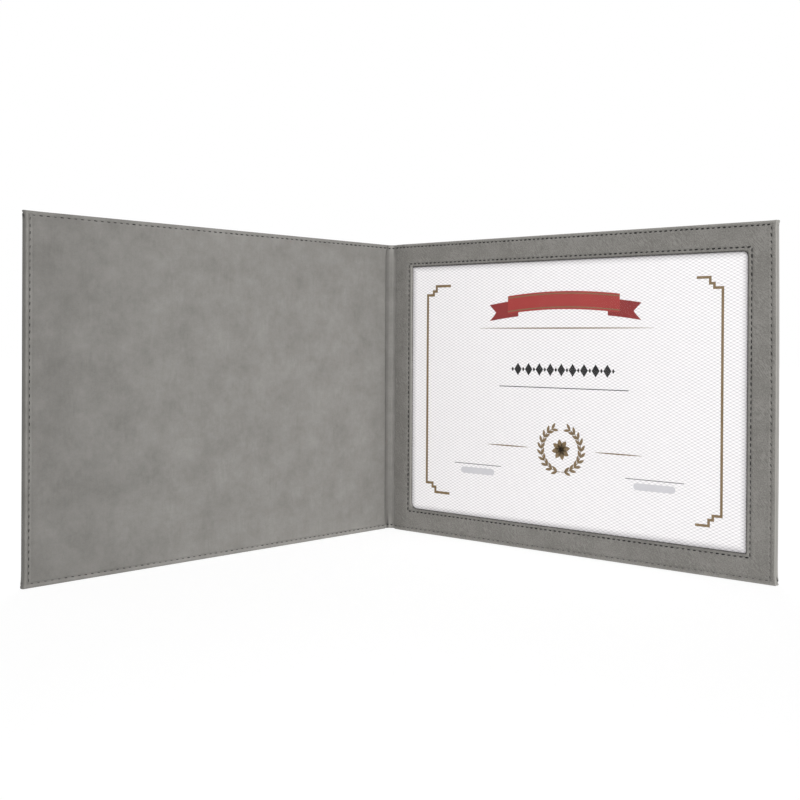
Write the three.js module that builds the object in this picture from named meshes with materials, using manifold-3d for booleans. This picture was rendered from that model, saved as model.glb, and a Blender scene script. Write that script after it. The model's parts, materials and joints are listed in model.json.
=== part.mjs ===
// Certificate holder: two boards wrapped in leatherette and joined by a soft spine, standing half open like a book.
// The back cover carries a stitched window frame, and a letter-size certificate slides behind its clear sheet.
// Millimetres, +Z up. The back cover lies in the XZ plane with its window facing -Y.

import * as THREE from "three";
import { mergeVertices } from "three/addons/utils/BufferGeometryUtils.js";
import Module from "manifold-3d";

// The certificate, which the holder is sized to
const CERTIFICATE_WIDTH = 279.4;
const CERTIFICATE_HEIGHT = 215.9;
const CERTIFICATE_THICKNESS = 0.25;

// Room round the certificate in its pocket
const POCKET_PLAY = 0.55; // above and below the certificate
const END_PLAY = 6.65; // between the certificate and the seam at the fore edge
const MOUTH_MARGIN = 10.35; // between the certificate and the pocket's mouth at the spine
const SLIDE_CLEARANCE = 0.1; // in front of the certificate and behind it

// How far the frame covers the certificate's edges
const WINDOW_LAP_ENDS = 5.85;
const WINDOW_LAP_SIDES = 11.5;

// Window corners, cut round to different radii
const RADIUS_SPINE_TOP = 1.2;
const RADIUS_FORE_TOP = 3.5;
const RADIUS_FORE_BOTTOM = 1.5;
const RADIUS_SPINE_BOTTOM = 5;

// Sheets and boards
const LEATHER = 0.8; // leatherette of the wraps and linings
const FRAME_LEATHER = 0.9; // leatherette of the window frame
const TURN_IN = 0.5; // leatherette pared thin where it is turned over a board's edge
const TURN_IN_WIDTH = 14;
const BOARD = 1.8; // greyboard
const CLEAR_SHEET = 0.25;
const SHEET_SETBACK = 2; // from the pocket's mouth to the clear sheet
const SHEET_CLEARANCE = 0.5; // between the clear sheet and the frame's seam

// Seams
const LINING_INSET = 1; // the lining and the frame stop short of the cover's edge
const SEAM_WIDTH = 4.8; // border of the frame that is sewn down to the lining
const STITCH_INSET = 3; // from the cover's edge to the middle of the stitches
const WINDOW_STITCH_MARGIN = 2.5; // from the window's edge to the middle of the stitches
const THREAD_WIDTH = 0.7;
const THREAD_DEPTH = 0.35;
const THREAD_CLEARANCE = 0.05;
const THREAD_SETBACK = 0.3; // from a crease or a step to the end of a thread

// Folds and fits
const OPENING_DEGREES = 97.4; // between the inner faces of the covers as they stand
const GLUE_LINE = 0.05;
const CREASE_CLEARANCE = 0.1;
const CREASE_TAB = 1.7; // lining lying on the wrap between a crease and the board's edge
const CLOSED_GAP = 0.85; // between the inner faces of the closed covers

// Construction
const ARC_STEPS = 6;
const CUT_OVERRUN = 1; // a cut runs this far past the piece it opens

// Distances from a crease along a cover
const CREASE_RADIUS = LEATHER + CREASE_CLEARANCE;
const LINING_FACE = CREASE_RADIUS + CREASE_TAB;
const BOARD_START = LINING_FACE + LEATHER + GLUE_LINE;
const CERTIFICATE_START = LINING_FACE + MOUTH_MARGIN;
const CERTIFICATE_END = CERTIFICATE_START + CERTIFICATE_WIDTH;
const POCKET_END = CERTIFICATE_END + END_PLAY;
const LINING_END = POCKET_END + SEAM_WIDTH;
const COVER_WIDTH = LINING_END + LINING_INSET;

// Heights
const POCKET_BOTTOM = LINING_INSET + SEAM_WIDTH;
const CERTIFICATE_BOTTOM = POCKET_BOTTOM + POCKET_PLAY;
const CERTIFICATE_TOP = CERTIFICATE_BOTTOM + CERTIFICATE_HEIGHT;
const POCKET_TOP = CERTIFICATE_TOP + POCKET_PLAY;
const COVER_HEIGHT = POCKET_TOP + SEAM_WIDTH + LINING_INSET;

// Depths inwards from the face where a cover's wrap meets what lies on it
const BOARD_FACE = GLUE_LINE + BOARD;
const TURN_IN_BACK = BOARD_FACE + GLUE_LINE;
const TURN_IN_FACE = TURN_IN_BACK + TURN_IN;
const LINING_BACK = TURN_IN_FACE + GLUE_LINE;
const LINING_TOP = LINING_BACK + LEATHER;
const CERTIFICATE_BACK = LINING_TOP + SLIDE_CLEARANCE;
const CERTIFICATE_FACE = CERTIFICATE_BACK + CERTIFICATE_THICKNESS;
const SHEET_BACK = CERTIFICATE_FACE + SLIDE_CLEARANCE;
const SHEET_FACE = SHEET_BACK + CLEAR_SHEET;
const FRAME_BACK = SHEET_FACE + GLUE_LINE;
const FRAME_FACE = FRAME_BACK + FRAME_LEATHER;

// The spine is as wide as the closed covers are thick
const SPINE_WIDTH = LINING_TOP + CLOSED_GAP + FRAME_FACE;
const FOLD = THREE.MathUtils.degToRad((180 - OPENING_DEGREES) / 2);

const BACK = 1;
const FRONT = -1;

const leatherette = { color: 0x8a8984, roughness: 0.75, metalness: 0 };
const frameLeatherette = { color: 0x82817c, roughness: 0.75, metalness: 0 };
const greyboard = { color: 0x8f8a80, roughness: 0.95, metalness: 0 };
const cartridgePaper = { color: 0xd9d5cb, roughness: 0.95, metalness: 0 };
const certificatePaper = { color: 0xf4f3f6, roughness: 0.85, metalness: 0 };
const clearPlastic = { color: 0xffffff, roughness: 0.08, metalness: 0, transparent: true, opacity: 0.15 };
const blackThread = { color: 0x2a2a29, roughness: 0.6, metalness: 0 };

const wasm = await Module();
wasm.setup();

// A closed geometry as a solid that can be joined and cut.
function solid(geometry) {
  geometry.deleteAttribute("normal");
  geometry.deleteAttribute("uv");
  const merged = mergeVertices(geometry);
  const vertProperties = merged.attributes.position.array;
  const triVerts = new Uint32Array(merged.index.array);
  return new wasm.Manifold(new wasm.Mesh({ numProp: 3, vertProperties, triVerts }));
}

// A named mesh of a solid.
function piece(name, body, look) {
  const { vertProperties, triVerts } = body.getMesh();
  const geometry = new THREE.BufferGeometry();
  geometry.setAttribute("position", new THREE.BufferAttribute(vertProperties, 3));
  geometry.setIndex(new THREE.BufferAttribute(triVerts, 1));
  geometry.computeVertexNormals();
  const mesh = new THREE.Mesh(geometry, new THREE.MeshStandardMaterial({ flatShading: true, ...look }));
  mesh.name = name;
  return mesh;
}

// Cover coordinates: u from the crease to the fore edge, w inwards through the cover, z up.
// The back cover runs along +X from its crease, and the front cover and the spine along -X from theirs.

function block(side, [u0, u1], [w0, w1], [z0, z1]) {
  const geometry = new THREE.BoxGeometry(u1 - u0, w1 - w0, z1 - z0);
  geometry.translate((side * (u0 + u1)) / 2, -(w0 + w1) / 2, (z0 + z1) / 2);
  return solid(geometry);
}

// A plan-view outline of [u, w] points, raised along z.
function prism(side, outline, [z0, z1]) {
  const shape = new THREE.Shape(outline.map(([u, w]) => new THREE.Vector2(side * u, -w)));
  const geometry = new THREE.ExtrudeGeometry(shape, { depth: z1 - z0, bevelEnabled: false });
  return solid(geometry.translate(0, 0, z0));
}

// A front-view shape in x and z, given a thickness from w0 to w1.
function plate(shape, [w0, w1]) {
  const settings = { depth: w1 - w0, bevelEnabled: false, curveSegments: ARC_STEPS };
  const geometry = new THREE.ExtrudeGeometry(shape, settings);
  return solid(geometry.rotateX(Math.PI / 2).translate(0, -w0, 0));
}

// Points of an arc about [u, w], from one angle to another in radians.
function arc([u, w], radius, from, to) {
  const points = [];
  for (let step = 0; step <= ARC_STEPS; step++) {
    const angle = from + ((to - from) * step) / ARC_STEPS;
    points.push([u + radius * Math.cos(angle), w + radius * Math.sin(angle)]);
  }
  return points;
}

// The seam along a cover's top, fore edge and bottom: a strip of stitches, or the groove that it sinks into.
function edgeSeam(side, start, halfWidth, depths) {
  const near = STITCH_INSET - halfWidth;
  const far = STITCH_INSET + halfWidth;
  const outline = [
    [start, near],
    [COVER_WIDTH - near, near],
    [COVER_WIDTH - near, COVER_HEIGHT - near],
    [start, COVER_HEIGHT - near],
    [start, COVER_HEIGHT - far],
    [COVER_WIDTH - far, COVER_HEIGHT - far],
    [COVER_WIDTH - far, far],
    [start, far],
  ];
  return plate(new THREE.Shape(outline.map(([u, z]) => new THREE.Vector2(side * u, z))), depths);
}

// A rectangle in x and z, as a shape or as a hole in one.
function rectangle(Kind, [x0, x1], [z0, z1]) {
  return new Kind([
    new THREE.Vector2(x0, z0),
    new THREE.Vector2(x1, z0),
    new THREE.Vector2(x1, z1),
    new THREE.Vector2(x0, z1),
  ]);
}

const THREAD_HALF = THREAD_WIDTH / 2;
const GROOVE_HALF = THREAD_HALF + THREAD_CLEARANCE;
const GROOVE_DEPTH = THREAD_DEPTH + THREAD_CLEARANCE;

// Depths of a thread whose top is flush with a face, and of the groove that it lies in.
// inward is 1 where the face looks into the holder and -1 where it looks out of it.
function threadDepths(face, inward) {
  const bed = face - inward * THREAD_DEPTH;
  return [Math.min(face, bed), Math.max(face, bed)];
}

function grooveDepths(face, inward) {
  const bed = face - inward * GROOVE_DEPTH;
  const open = face + inward * CUT_OVERRUN;
  return [Math.min(bed, open), Math.max(bed, open)];
}

// A cover's outer leatherette, turned over three edges of its board. At the crease it ends in a hollow round end.
function coverWrap(side) {
  const hollow = arc([0, 0], CREASE_RADIUS, 0, -Math.asin(LEATHER / CREASE_RADIUS));
  const skin = prism(side, [...hollow, [COVER_WIDTH, -LEATHER], [COVER_WIDTH, 0]], [0, COVER_HEIGHT]);
  const edge = block(side, [BOARD_START, COVER_WIDTH], [0, TURN_IN_FACE], [0, COVER_HEIGHT]);
  const boardRoom = block(
    side,
    [BOARD_START - CUT_OVERRUN, COVER_WIDTH - LEATHER],
    [0, TURN_IN_BACK],
    [LEATHER, COVER_HEIGHT - LEATHER],
  );
  const insideTurnIns = block(
    side,
    [BOARD_START - CUT_OVERRUN, COVER_WIDTH - TURN_IN_WIDTH],
    [0, TURN_IN_FACE + CUT_OVERRUN],
    [TURN_IN_WIDTH, COVER_HEIGHT - TURN_IN_WIDTH],
  );
  const groove = edgeSeam(side, -CUT_OVERRUN, GROOVE_HALF, grooveDepths(-LEATHER, -1));
  return skin.add(edge).subtract(boardRoom).subtract(insideTurnIns).subtract(groove);
}

// The stiff board inside a cover.
function coverBoard(side) {
  const rim = LEATHER + GLUE_LINE;
  return block(side, [BOARD_START, COVER_WIDTH - rim], [GLUE_LINE, BOARD_FACE], [rim, COVER_HEIGHT - rim]);
}

// The paper that levels the board between the turned-in edges.
function coverInfill(side) {
  const rim = TURN_IN_WIDTH + GLUE_LINE;
  return block(
    side,
    [BOARD_START, COVER_WIDTH - rim],
    [TURN_IN_BACK, TURN_IN_FACE],
    [rim, COVER_HEIGHT - rim],
  );
}

// The inner leatherette, which steps down over the board's edge and lies on the wrap beside the crease.
function coverLining(side) {
  const foot = GLUE_LINE + LEATHER;
  const outline = [
    [CREASE_RADIUS, GLUE_LINE],
    [LINING_FACE + LEATHER, GLUE_LINE],
    [LINING_FACE + LEATHER, LINING_BACK],
    [LINING_END, LINING_BACK],
    [LINING_END, LINING_TOP],
    [LINING_FACE, LINING_TOP],
    [LINING_FACE, foot],
    [CREASE_RADIUS, foot],
  ];
  return prism(side, outline, [LINING_INSET, COVER_HEIGHT - LINING_INSET]);
}

function frontLiner() {
  const groove = edgeSeam(FRONT, LINING_FACE - CUT_OVERRUN, GROOVE_HALF, grooveDepths(LINING_TOP, 1));
  return coverLining(FRONT).subtract(groove);
}

// Window edges in the back cover
const WINDOW_X = [CERTIFICATE_START + WINDOW_LAP_ENDS, CERTIFICATE_END - WINDOW_LAP_ENDS];
const WINDOW_Z = [CERTIFICATE_BOTTOM + WINDOW_LAP_SIDES, CERTIFICATE_TOP - WINDOW_LAP_SIDES];

function windowShape() {
  const [x0, x1] = WINDOW_X;
  const [z0, z1] = WINDOW_Z;
  const quarter = Math.PI / 2;
  const shape = new THREE.Shape();
  shape.absarc(x0 + RADIUS_SPINE_BOTTOM, z0 + RADIUS_SPINE_BOTTOM, RADIUS_SPINE_BOTTOM, 2 * quarter, 3 * quarter);
  shape.absarc(x1 - RADIUS_FORE_BOTTOM, z0 + RADIUS_FORE_BOTTOM, RADIUS_FORE_BOTTOM, 3 * quarter, 4 * quarter);
  shape.absarc(x1 - RADIUS_FORE_TOP, z1 - RADIUS_FORE_TOP, RADIUS_FORE_TOP, 0, quarter);
  shape.absarc(x0 + RADIUS_SPINE_TOP, z1 - RADIUS_SPINE_TOP, RADIUS_SPINE_TOP, quarter, 2 * quarter);
  return shape;
}

// The seam round the window: a square ring of stitches, or the groove that it sinks into.
function windowSeam(halfWidth, depths) {
  const grow = ([low, high], by) => [low - by, high + by];
  const inner = WINDOW_STITCH_MARGIN - halfWidth;
  const outer = WINDOW_STITCH_MARGIN + halfWidth;
  const ring = rectangle(THREE.Shape, grow(WINDOW_X, outer), grow(WINDOW_Z, outer));
  ring.holes.push(rectangle(THREE.Path, grow(WINDOW_X, inner), grow(WINDOW_Z, inner)));
  return plate(ring, depths);
}

// The frame over the pocket. Its border is sewn down on three sides, and the pocket is open at the spine.
function windowFrame() {
  const whole = block(
    BACK,
    [LINING_FACE, LINING_END],
    [LINING_TOP + GLUE_LINE, FRAME_FACE],
    [LINING_INSET, COVER_HEIGHT - LINING_INSET],
  );
  const pocket = block(
    BACK,
    [LINING_FACE - CUT_OVERRUN, POCKET_END],
    [LINING_TOP, FRAME_BACK],
    [POCKET_BOTTOM, POCKET_TOP],
  );
  const window = plate(windowShape(), [FRAME_BACK - CUT_OVERRUN, FRAME_FACE + CUT_OVERRUN]);
  const edgeGroove = edgeSeam(BACK, LINING_FACE - CUT_OVERRUN, GROOVE_HALF, grooveDepths(FRAME_FACE, 1));
  const windowGroove = windowSeam(GROOVE_HALF, grooveDepths(FRAME_FACE, 1));
  return whole.subtract(pocket).subtract(window).subtract(edgeGroove).subtract(windowGroove);
}

function windowSheet() {
  return block(
    BACK,
    [LINING_FACE + SHEET_SETBACK, POCKET_END - SHEET_CLEARANCE],
    [SHEET_BACK, SHEET_FACE],
    [POCKET_BOTTOM + SHEET_CLEARANCE, POCKET_TOP - SHEET_CLEARANCE],
  );
}

function certificate() {
  return block(
    BACK,
    [CERTIFICATE_START, CERTIFICATE_END],
    [CERTIFICATE_BACK, CERTIFICATE_FACE],
    [CERTIFICATE_BOTTOM, CERTIFICATE_TOP],
  );
}

// The outer leatherette of the spine, round at both creases so that it turns inside the covers' hollow ends.
function spineWrap() {
  const outline = [
    ...arc([0, 0], LEATHER, -Math.PI, -Math.PI / 2),
    ...arc([SPINE_WIDTH, 0], LEATHER, -Math.PI / 2, 0),
  ];
  return spineGrooves(prism(FRONT, outline, [0, COVER_HEIGHT]), grooveDepths(-LEATHER, -1));
}

// The inner leatherette of the spine, which stops at the creases.
function spineLiner() {
  const heights = [LINING_INSET, COVER_HEIGHT - LINING_INSET];
  const strip = block(FRONT, [0, SPINE_WIDTH], [GLUE_LINE, LEATHER], heights);
  return spineGrooves(strip, grooveDepths(LEATHER, 1));
}

const SPINE_SEAM_HEIGHTS = { top: COVER_HEIGHT - STITCH_INSET, bottom: STITCH_INSET };

function spineGrooves(strip, depths) {
  const length = [-CREASE_RADIUS, SPINE_WIDTH + CREASE_RADIUS];
  return Object.values(SPINE_SEAM_HEIGHTS).reduce(
    (rest, z) => rest.subtract(block(FRONT, length, depths, [z - GROOVE_HALF, z + GROOVE_HALF])),
    strip,
  );
}

// The stitches that cross the spine at one height.
function spineThread(z, depths) {
  const length = [THREAD_SETBACK, SPINE_WIDTH - THREAD_SETBACK];
  return block(FRONT, length, depths, [z - THREAD_HALF, z + THREAD_HALF]);
}

const back = new THREE.Group();
back.add(
  piece("back_wrap", coverWrap(BACK), leatherette),
  piece("back_board", coverBoard(BACK), greyboard),
  piece("back_infill", coverInfill(BACK), cartridgePaper),
  piece("back_lining", coverLining(BACK), leatherette),
  piece("certificate", certificate(), certificatePaper),
  piece("window_sheet", windowSheet(), clearPlastic),
  piece("window_frame", windowFrame(), frameLeatherette),
  piece("window_thread", windowSeam(THREAD_HALF, threadDepths(FRAME_FACE, 1)), blackThread),
);

const front = new THREE.Group();
front.position.x = -SPINE_WIDTH;
front.rotation.z = FOLD;
front.add(
  piece("front_wrap", coverWrap(FRONT), leatherette),
  piece("front_board", coverBoard(FRONT), greyboard),
  piece("front_infill", coverInfill(FRONT), cartridgePaper),
  piece("front_liner", frontLiner(), leatherette),
);

const covers = [
  { name: "back", group: back, side: BACK, innerFace: FRAME_FACE },
  { name: "front", group: front, side: FRONT, innerFace: LINING_TOP },
];
for (const { name, group, side, innerFace } of covers) {
  const inner = edgeSeam(side, LINING_FACE + THREAD_SETBACK, THREAD_HALF, threadDepths(innerFace, 1));
  const outer = edgeSeam(side, CREASE_RADIUS + THREAD_SETBACK, THREAD_HALF, threadDepths(-LEATHER, -1));
  group.add(piece(`${name}_inner_thread`, inner, blackThread));
  group.add(piece(`${name}_outer_thread`, outer, blackThread));
}

const spine = new THREE.Group();
spine.rotation.z = FOLD;
spine.add(piece("spine_wrap", spineWrap(), leatherette));
spine.add(piece("spine_liner", spineLiner(), leatherette));
for (const [end, z] of Object.entries(SPINE_SEAM_HEIGHTS)) {
  spine.add(piece(`spine_inner_thread_${end}`, spineThread(z, threadDepths(LEATHER, 1)), blackThread));
  spine.add(piece(`spine_outer_thread_${end}`, spineThread(z, threadDepths(-LEATHER, -1)), blackThread));
}
spine.add(front);

// The origin is under the middle of the holder, on the surface that it stands on.
const holder = new THREE.Group();
holder.add(back, spine);
holder.updateMatrixWorld(true);
const extent = new THREE.Box3().setFromObject(holder, true);
const middle = extent.getCenter(new THREE.Vector3());
back.position.set(-middle.x, -middle.y, -extent.min.z);
spine.position.copy(back.position);

export default holder;
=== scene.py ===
import json
import math

import bmesh
import bpy
import numpy as np
from mathutils import Matrix, Vector


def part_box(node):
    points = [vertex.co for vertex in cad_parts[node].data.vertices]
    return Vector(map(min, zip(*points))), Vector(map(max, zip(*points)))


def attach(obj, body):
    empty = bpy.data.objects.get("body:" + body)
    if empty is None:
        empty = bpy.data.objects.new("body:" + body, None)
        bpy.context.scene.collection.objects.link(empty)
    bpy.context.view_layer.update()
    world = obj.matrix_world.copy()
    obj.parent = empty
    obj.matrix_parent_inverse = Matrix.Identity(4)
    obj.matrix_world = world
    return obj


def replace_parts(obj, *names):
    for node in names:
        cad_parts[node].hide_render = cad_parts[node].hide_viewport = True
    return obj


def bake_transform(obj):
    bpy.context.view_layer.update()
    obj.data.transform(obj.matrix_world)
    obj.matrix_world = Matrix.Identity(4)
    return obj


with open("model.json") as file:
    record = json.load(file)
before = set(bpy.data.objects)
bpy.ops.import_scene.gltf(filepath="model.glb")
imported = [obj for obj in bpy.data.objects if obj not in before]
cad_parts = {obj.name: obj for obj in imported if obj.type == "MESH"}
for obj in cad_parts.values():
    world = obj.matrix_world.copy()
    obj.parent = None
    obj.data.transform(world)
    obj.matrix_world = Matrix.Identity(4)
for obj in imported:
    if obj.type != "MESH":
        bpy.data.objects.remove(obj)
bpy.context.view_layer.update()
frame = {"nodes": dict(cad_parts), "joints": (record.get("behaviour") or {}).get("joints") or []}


# Boards and levelling paper
# Each cover is stiffened by a plate of grey board, pressed from waste paper and cut square.
# A sheet of plain paper is glued to it between the turned-in edges, so that the lining lies flat.

BOARD_PALE = (152, 147, 136)
BOARD_DARK = (118, 113, 103)
PAPER_PALE = (226, 221, 208)
PAPER_DARK = (206, 200, 186)
PULP_CLOUDS, PULP_FIBRES, PULP_FELT = 70.0, 1500.0, 900.0


def linear(red, green, blue):
    """A colour of display values from 0 to 255 as the linear colour that a socket takes."""
    share = np.array([red, green, blue]) / 255
    value = np.where(share <= 0.04045, share / 12.92, ((share + 0.055) / 1.055) ** 2.4)
    return (*value.tolist(), 1.0)


def join(tree, value, socket):
    """Feeds a socket: another node's output is linked to it, and a plain value is set on it."""
    if isinstance(value, bpy.types.NodeSocket):
        tree.links.new(value, socket)
    else:
        socket.default_value = value


def add(tree, kind, inputs=None, **settings):
    """Adds one shader node with its settings, feeds its inputs by name or number, and gives it back."""
    made = tree.nodes.new("ShaderNode" + kind)
    for name, value in settings.items():
        setattr(made, name, value)
    for name, value in (inputs or {}).items():
        join(tree, value, made.inputs[name])
    return made


def noise(tree, place, scale, detail=2.0, roughness=0.5):
    """A noise from 0 to 1 with so many bumps to the metre."""
    inputs = {"Vector": place, "Scale": scale, "Detail": detail, "Roughness": roughness}
    return add(tree, "TexNoise", inputs).outputs[0]


def spread(tree, value, low, high):
    """The part of a value from low to high, stretched to 0 to 1 with soft ends."""
    inputs = {"Value": value, "From Min": low, "From Max": high}
    return add(tree, "MapRange", inputs, interpolation_type="SMOOTHSTEP").outputs[0]


def arithmetic(tree, operation, first, second):
    """One sum, product or the like of two values."""
    return add(tree, "Math", {0: first, 1: second}, operation=operation).outputs[0]


def mixed(tree, share, first, second):
    """A colour between two others."""
    return add(tree, "Mix", {0: share, 6: first, 7: second}, data_type="RGBA").outputs[2]


def new_finish(name):
    """A material with one Principled shader: the material, its node tree and the shader."""
    finish = bpy.data.materials.new(name)
    finish.use_nodes = True
    tree = finish.node_tree
    return finish, tree, tree.nodes["Principled BSDF"]


def bumped(tree, shader, height, distance, strength=1.0):
    """Roughens a shader by a height from 0 to 1 that stands for so many metres."""
    inputs = {"Height": height, "Distance": distance, "Strength": strength}
    join(tree, add(tree, "Bump", inputs).outputs[0], shader.inputs["Normal"])


def new_group(name, inputs, outputs):
    """An empty node group with named sockets of given kinds: the group, what it is given and its outlets."""
    group = bpy.data.node_groups.new(name, "ShaderNodeTree")
    for way, sockets in (("INPUT", inputs), ("OUTPUT", outputs)):
        for socket, kind in sockets.items():
            group.interface.new_socket(socket, in_out=way, socket_type="NodeSocket" + kind)
    given = group.nodes.new("NodeGroupInput").outputs
    return group, given, group.nodes.new("NodeGroupOutput").inputs


def pulp_group():
    """Pressed pulp: a cloudy tone between two colours, small dark flecks of fibre and a felted face."""
    inputs = {"Place": "Vector", "Dark": "Color", "Pale": "Color"}
    group, given, out = new_group("pulp", inputs, {"Colour": "Color", "Height": "Float"})
    clouds = noise(group, given["Place"], PULP_CLOUDS, 3.0)
    flecks = spread(group, noise(group, given["Place"], PULP_FIBRES), 0.58, 0.72)
    tone = mixed(group, clouds, given["Dark"], given["Pale"])
    join(group, mixed(group, flecks, tone, given["Dark"]), out["Colour"])
    join(group, noise(group, given["Place"], PULP_FELT, 4.0), out["Height"])
    return group


pulp_nodes = pulp_group()


def pulp_finish(name, pale, dark):
    """Board or paper of pressed pulp in a pale and a dark tone."""
    finish, tree, shader = new_finish(name)
    inputs = {"Place": add(tree, "TexCoord").outputs["Object"], "Dark": linear(*dark), "Pale": linear(*pale)}
    pulp = add(tree, "Group", inputs, node_tree=pulp_nodes).outputs
    join(tree, pulp["Colour"], shader.inputs["Base Color"])
    shader.inputs["Roughness"].default_value = 0.9
    bumped(tree, shader, pulp["Height"], 0.0001)
    return finish


def dress(node, finish):
    """Gives a CAD node that keeps its shape a better material."""
    slots = frame["nodes"][node].data.materials
    slots.clear()
    slots.append(finish)


board_finish = pulp_finish("grey_board", BOARD_PALE, BOARD_DARK)
infill_finish = pulp_finish("levelling_paper", PAPER_PALE, PAPER_DARK)
for cover in ("front", "back"):
    dress(cover + "_board", board_finish)
    dress(cover + "_infill", infill_finish)


# Outer leatherette
# One sheet of suede-like leatherette covers both boards and the spine, and is turned in over their edges.
# It is drawn as two halves that meet in the middle of the spine, so that each bends at one crease.

creases = {joint["name"]: joint for joint in frame["joints"] if "crease" in joint["name"]}
FOLD = math.radians(-creases["back_crease"]["range_deg"][0])
CREASE_ROUND = 4.0
WRAP_FACE = -0.8
WRAP_THICKNESS = 0.4
CORE_TOP = 2.4
SEAM_LOW, SEAM_FORE, SEAM_TOP = 2.9, 3.4, 2.7
SEAM_WIDTH, SWELL_AWAY = 0.6, 1.4
OUTER_GROOVE, OUTER_SWELL = 0.3, 0.12
SPINE_EDGE_ROUND, COVER_EDGE_MORE = 0.35, 0.5
# The wrapped edges take a painted highlight and the front's fore edge painted shade, of this strength and
# reach in rows of the profile.
EDGE_LIGHT_AND_SHADE, EDGE_LIGHT_ROWS = 0.6, 9
WRAP_BEND = 2.0
MERGE = 1e-7
SHARP = math.radians(60)
NAP_MOTTLES, NAP_PATCHES, NAP_PORES = 43.0, 70.0, 1150.0
# The leatherette's two greys, then the colours towards which painted highlights and rubbing lighten it and
# painted shade darkens it.
SUEDE_PALE = (152, 150, 146)
SUEDE_DARK = (128, 126, 122)
SUEDE_LIGHT_AND_WEAR = (182, 180, 175)
SUEDE_SHADE = (34, 33, 32)
BRUSH_UPRIGHT = 0.0

crease_places = {name: 1000 * np.array(joint["pos_m"][:2]) for name, joint in creases.items()}
spine_vector = crease_places["back_crease"] - crease_places["front_crease"]
HALF_SPINE = np.linalg.norm(spine_vector) / 2
spine_middle = (crease_places["back_crease"] + crease_places["front_crease"]) / 2
spine_run = spine_vector / (2 * HALF_SPINE)
spine_inward = np.array([spine_run[1], -spine_run[0]])
COVER_WIDTH = 1000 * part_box("back_wrap")[1].x - crease_places["back_crease"][0]
COVER_HEIGHT = 1000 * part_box("back_wrap")[1].z
TANGENT = CREASE_ROUND * math.tan(FOLD / 2)
ARC_START = HALF_SPINE - TANGENT
ARC_END = ARC_START + CREASE_ROUND * FOLD
CREASE_ALONG = ARC_END - TANGENT
FORE_ALONG = CREASE_ALONG + COVER_WIDTH
BACK, FRONT = 1, -1
COVERS = {BACK: "back", FRONT: "front"}
EARS = {BACK: ((0.8, 5.0), (0.6, 2.0)), FRONT: ((0.6, 5.0), (0.45, 3.2))}
EAR_LIFT, EAR_DEPTH = 0.35, 4.0
STRAY = {BACK: (-0.25, 1.6, -2.2), FRONT: (-0.5, 0.8, 0.0)}
STRAY_REACH = 14.0
STEPS = {BACK: (2.0, 1.2, 0.0), FRONT: (2.6, 0.9, 1.0)}
EDGE_STEP = (-3.3, 6.0)
PINCH_LOW, PINCH_TOP = 9.0, 5.5
SLITS = {BACK: ((0.28, 1.29, 1.25, 1.0), (1.2, 0.7, 0.35, 0.2)),
         FRONT: ((1.4, 0.7, 0.4, 0.4), (0.45, 1.1, 1.0, 1.0))}
SLIT_DEPTH = 0.5


def smooth(share):
    """A share from 0 to 1 with soft ends: three times its square less twice its cube."""
    share = np.clip(share, 0, 1)
    return share * share * (3 - 2 * share)


def bell(value, middle, width, power=2):
    """A bump of height 1: e to minus the distance from its middle over its width, raised to a power."""
    return np.exp(-((value - middle) / width) ** power)


def eared(side, along, height):
    """Lets the corners at a fore edge stand a little proud, where the leatherette is folded double.

    EARS gives how far each stands out and its reach. The push along the cover falls off as a bell with the
    distance from the upper or lower edge, and the lift of the upper corner with that from the fore edge.
    The edge itself isn't quite straight: it strays by a square in the share of the height.
    """
    to_fore, to_top = FORE_ALONG - along, COVER_HEIGHT - height
    (low, low_reach), (high, high_reach) = EARS[side]
    push = low * bell(height, 0, low_reach) + high * bell(to_top, 0, high_reach)
    lift = EAR_LIFT * high * bell(to_fore, 0, high_reach)
    stray = np.polynomial.polynomial.polyval(height / COVER_HEIGHT, STRAY[side])
    along = along + push * smooth(1 - to_fore / EAR_DEPTH) + stray * smooth(1 - to_fore / STRAY_REACH)
    return along, height + lift * smooth(1 - to_top / EAR_DEPTH)


def folded(side, along, depth, height):
    """Places points of the flat sheet on the folded holder, from millimetres to metres.

    along is measured from the middle of the spine towards a fore edge, depth inwards from the board's
    outer face. The line of depth 0 is straight to the crease, turns through the fold on an arc of
    CREASE_ROUND and is straight again; depth is laid off along its normal. The front mirrors the back.
    """
    along, depth, height = np.broadcast_arrays(along, depth, height)
    along, height = eared(side, along, height)
    turn = np.clip((along - ARC_START) / CREASE_ROUND, 0, FOLD)
    beyond = np.maximum(along - ARC_END, 0)
    run = np.minimum(along, ARC_START) + CREASE_ROUND * np.sin(turn)
    run = run + beyond * math.cos(FOLD) - depth * np.sin(turn)
    inward = CREASE_ROUND * (1 - np.cos(turn)) + beyond * math.sin(FOLD) + depth * np.cos(turn)
    plan = spine_middle + side * run[..., None] * spine_run + inward[..., None] * spine_inward
    return np.concatenate([plan, height[..., None]], -1) / 1000


def quads(rows, columns, keep=None):
    """The corner numbers of a grid's quads, its points counted row by row, and only those to keep."""
    number = np.arange(rows * columns).reshape(rows, columns)
    made = np.stack([number[:-1, :-1], number[1:, :-1], number[1:, 1:], number[:-1, 1:]], -1)
    return made.reshape(-1, 4) if keep is None else made[keep]


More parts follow.
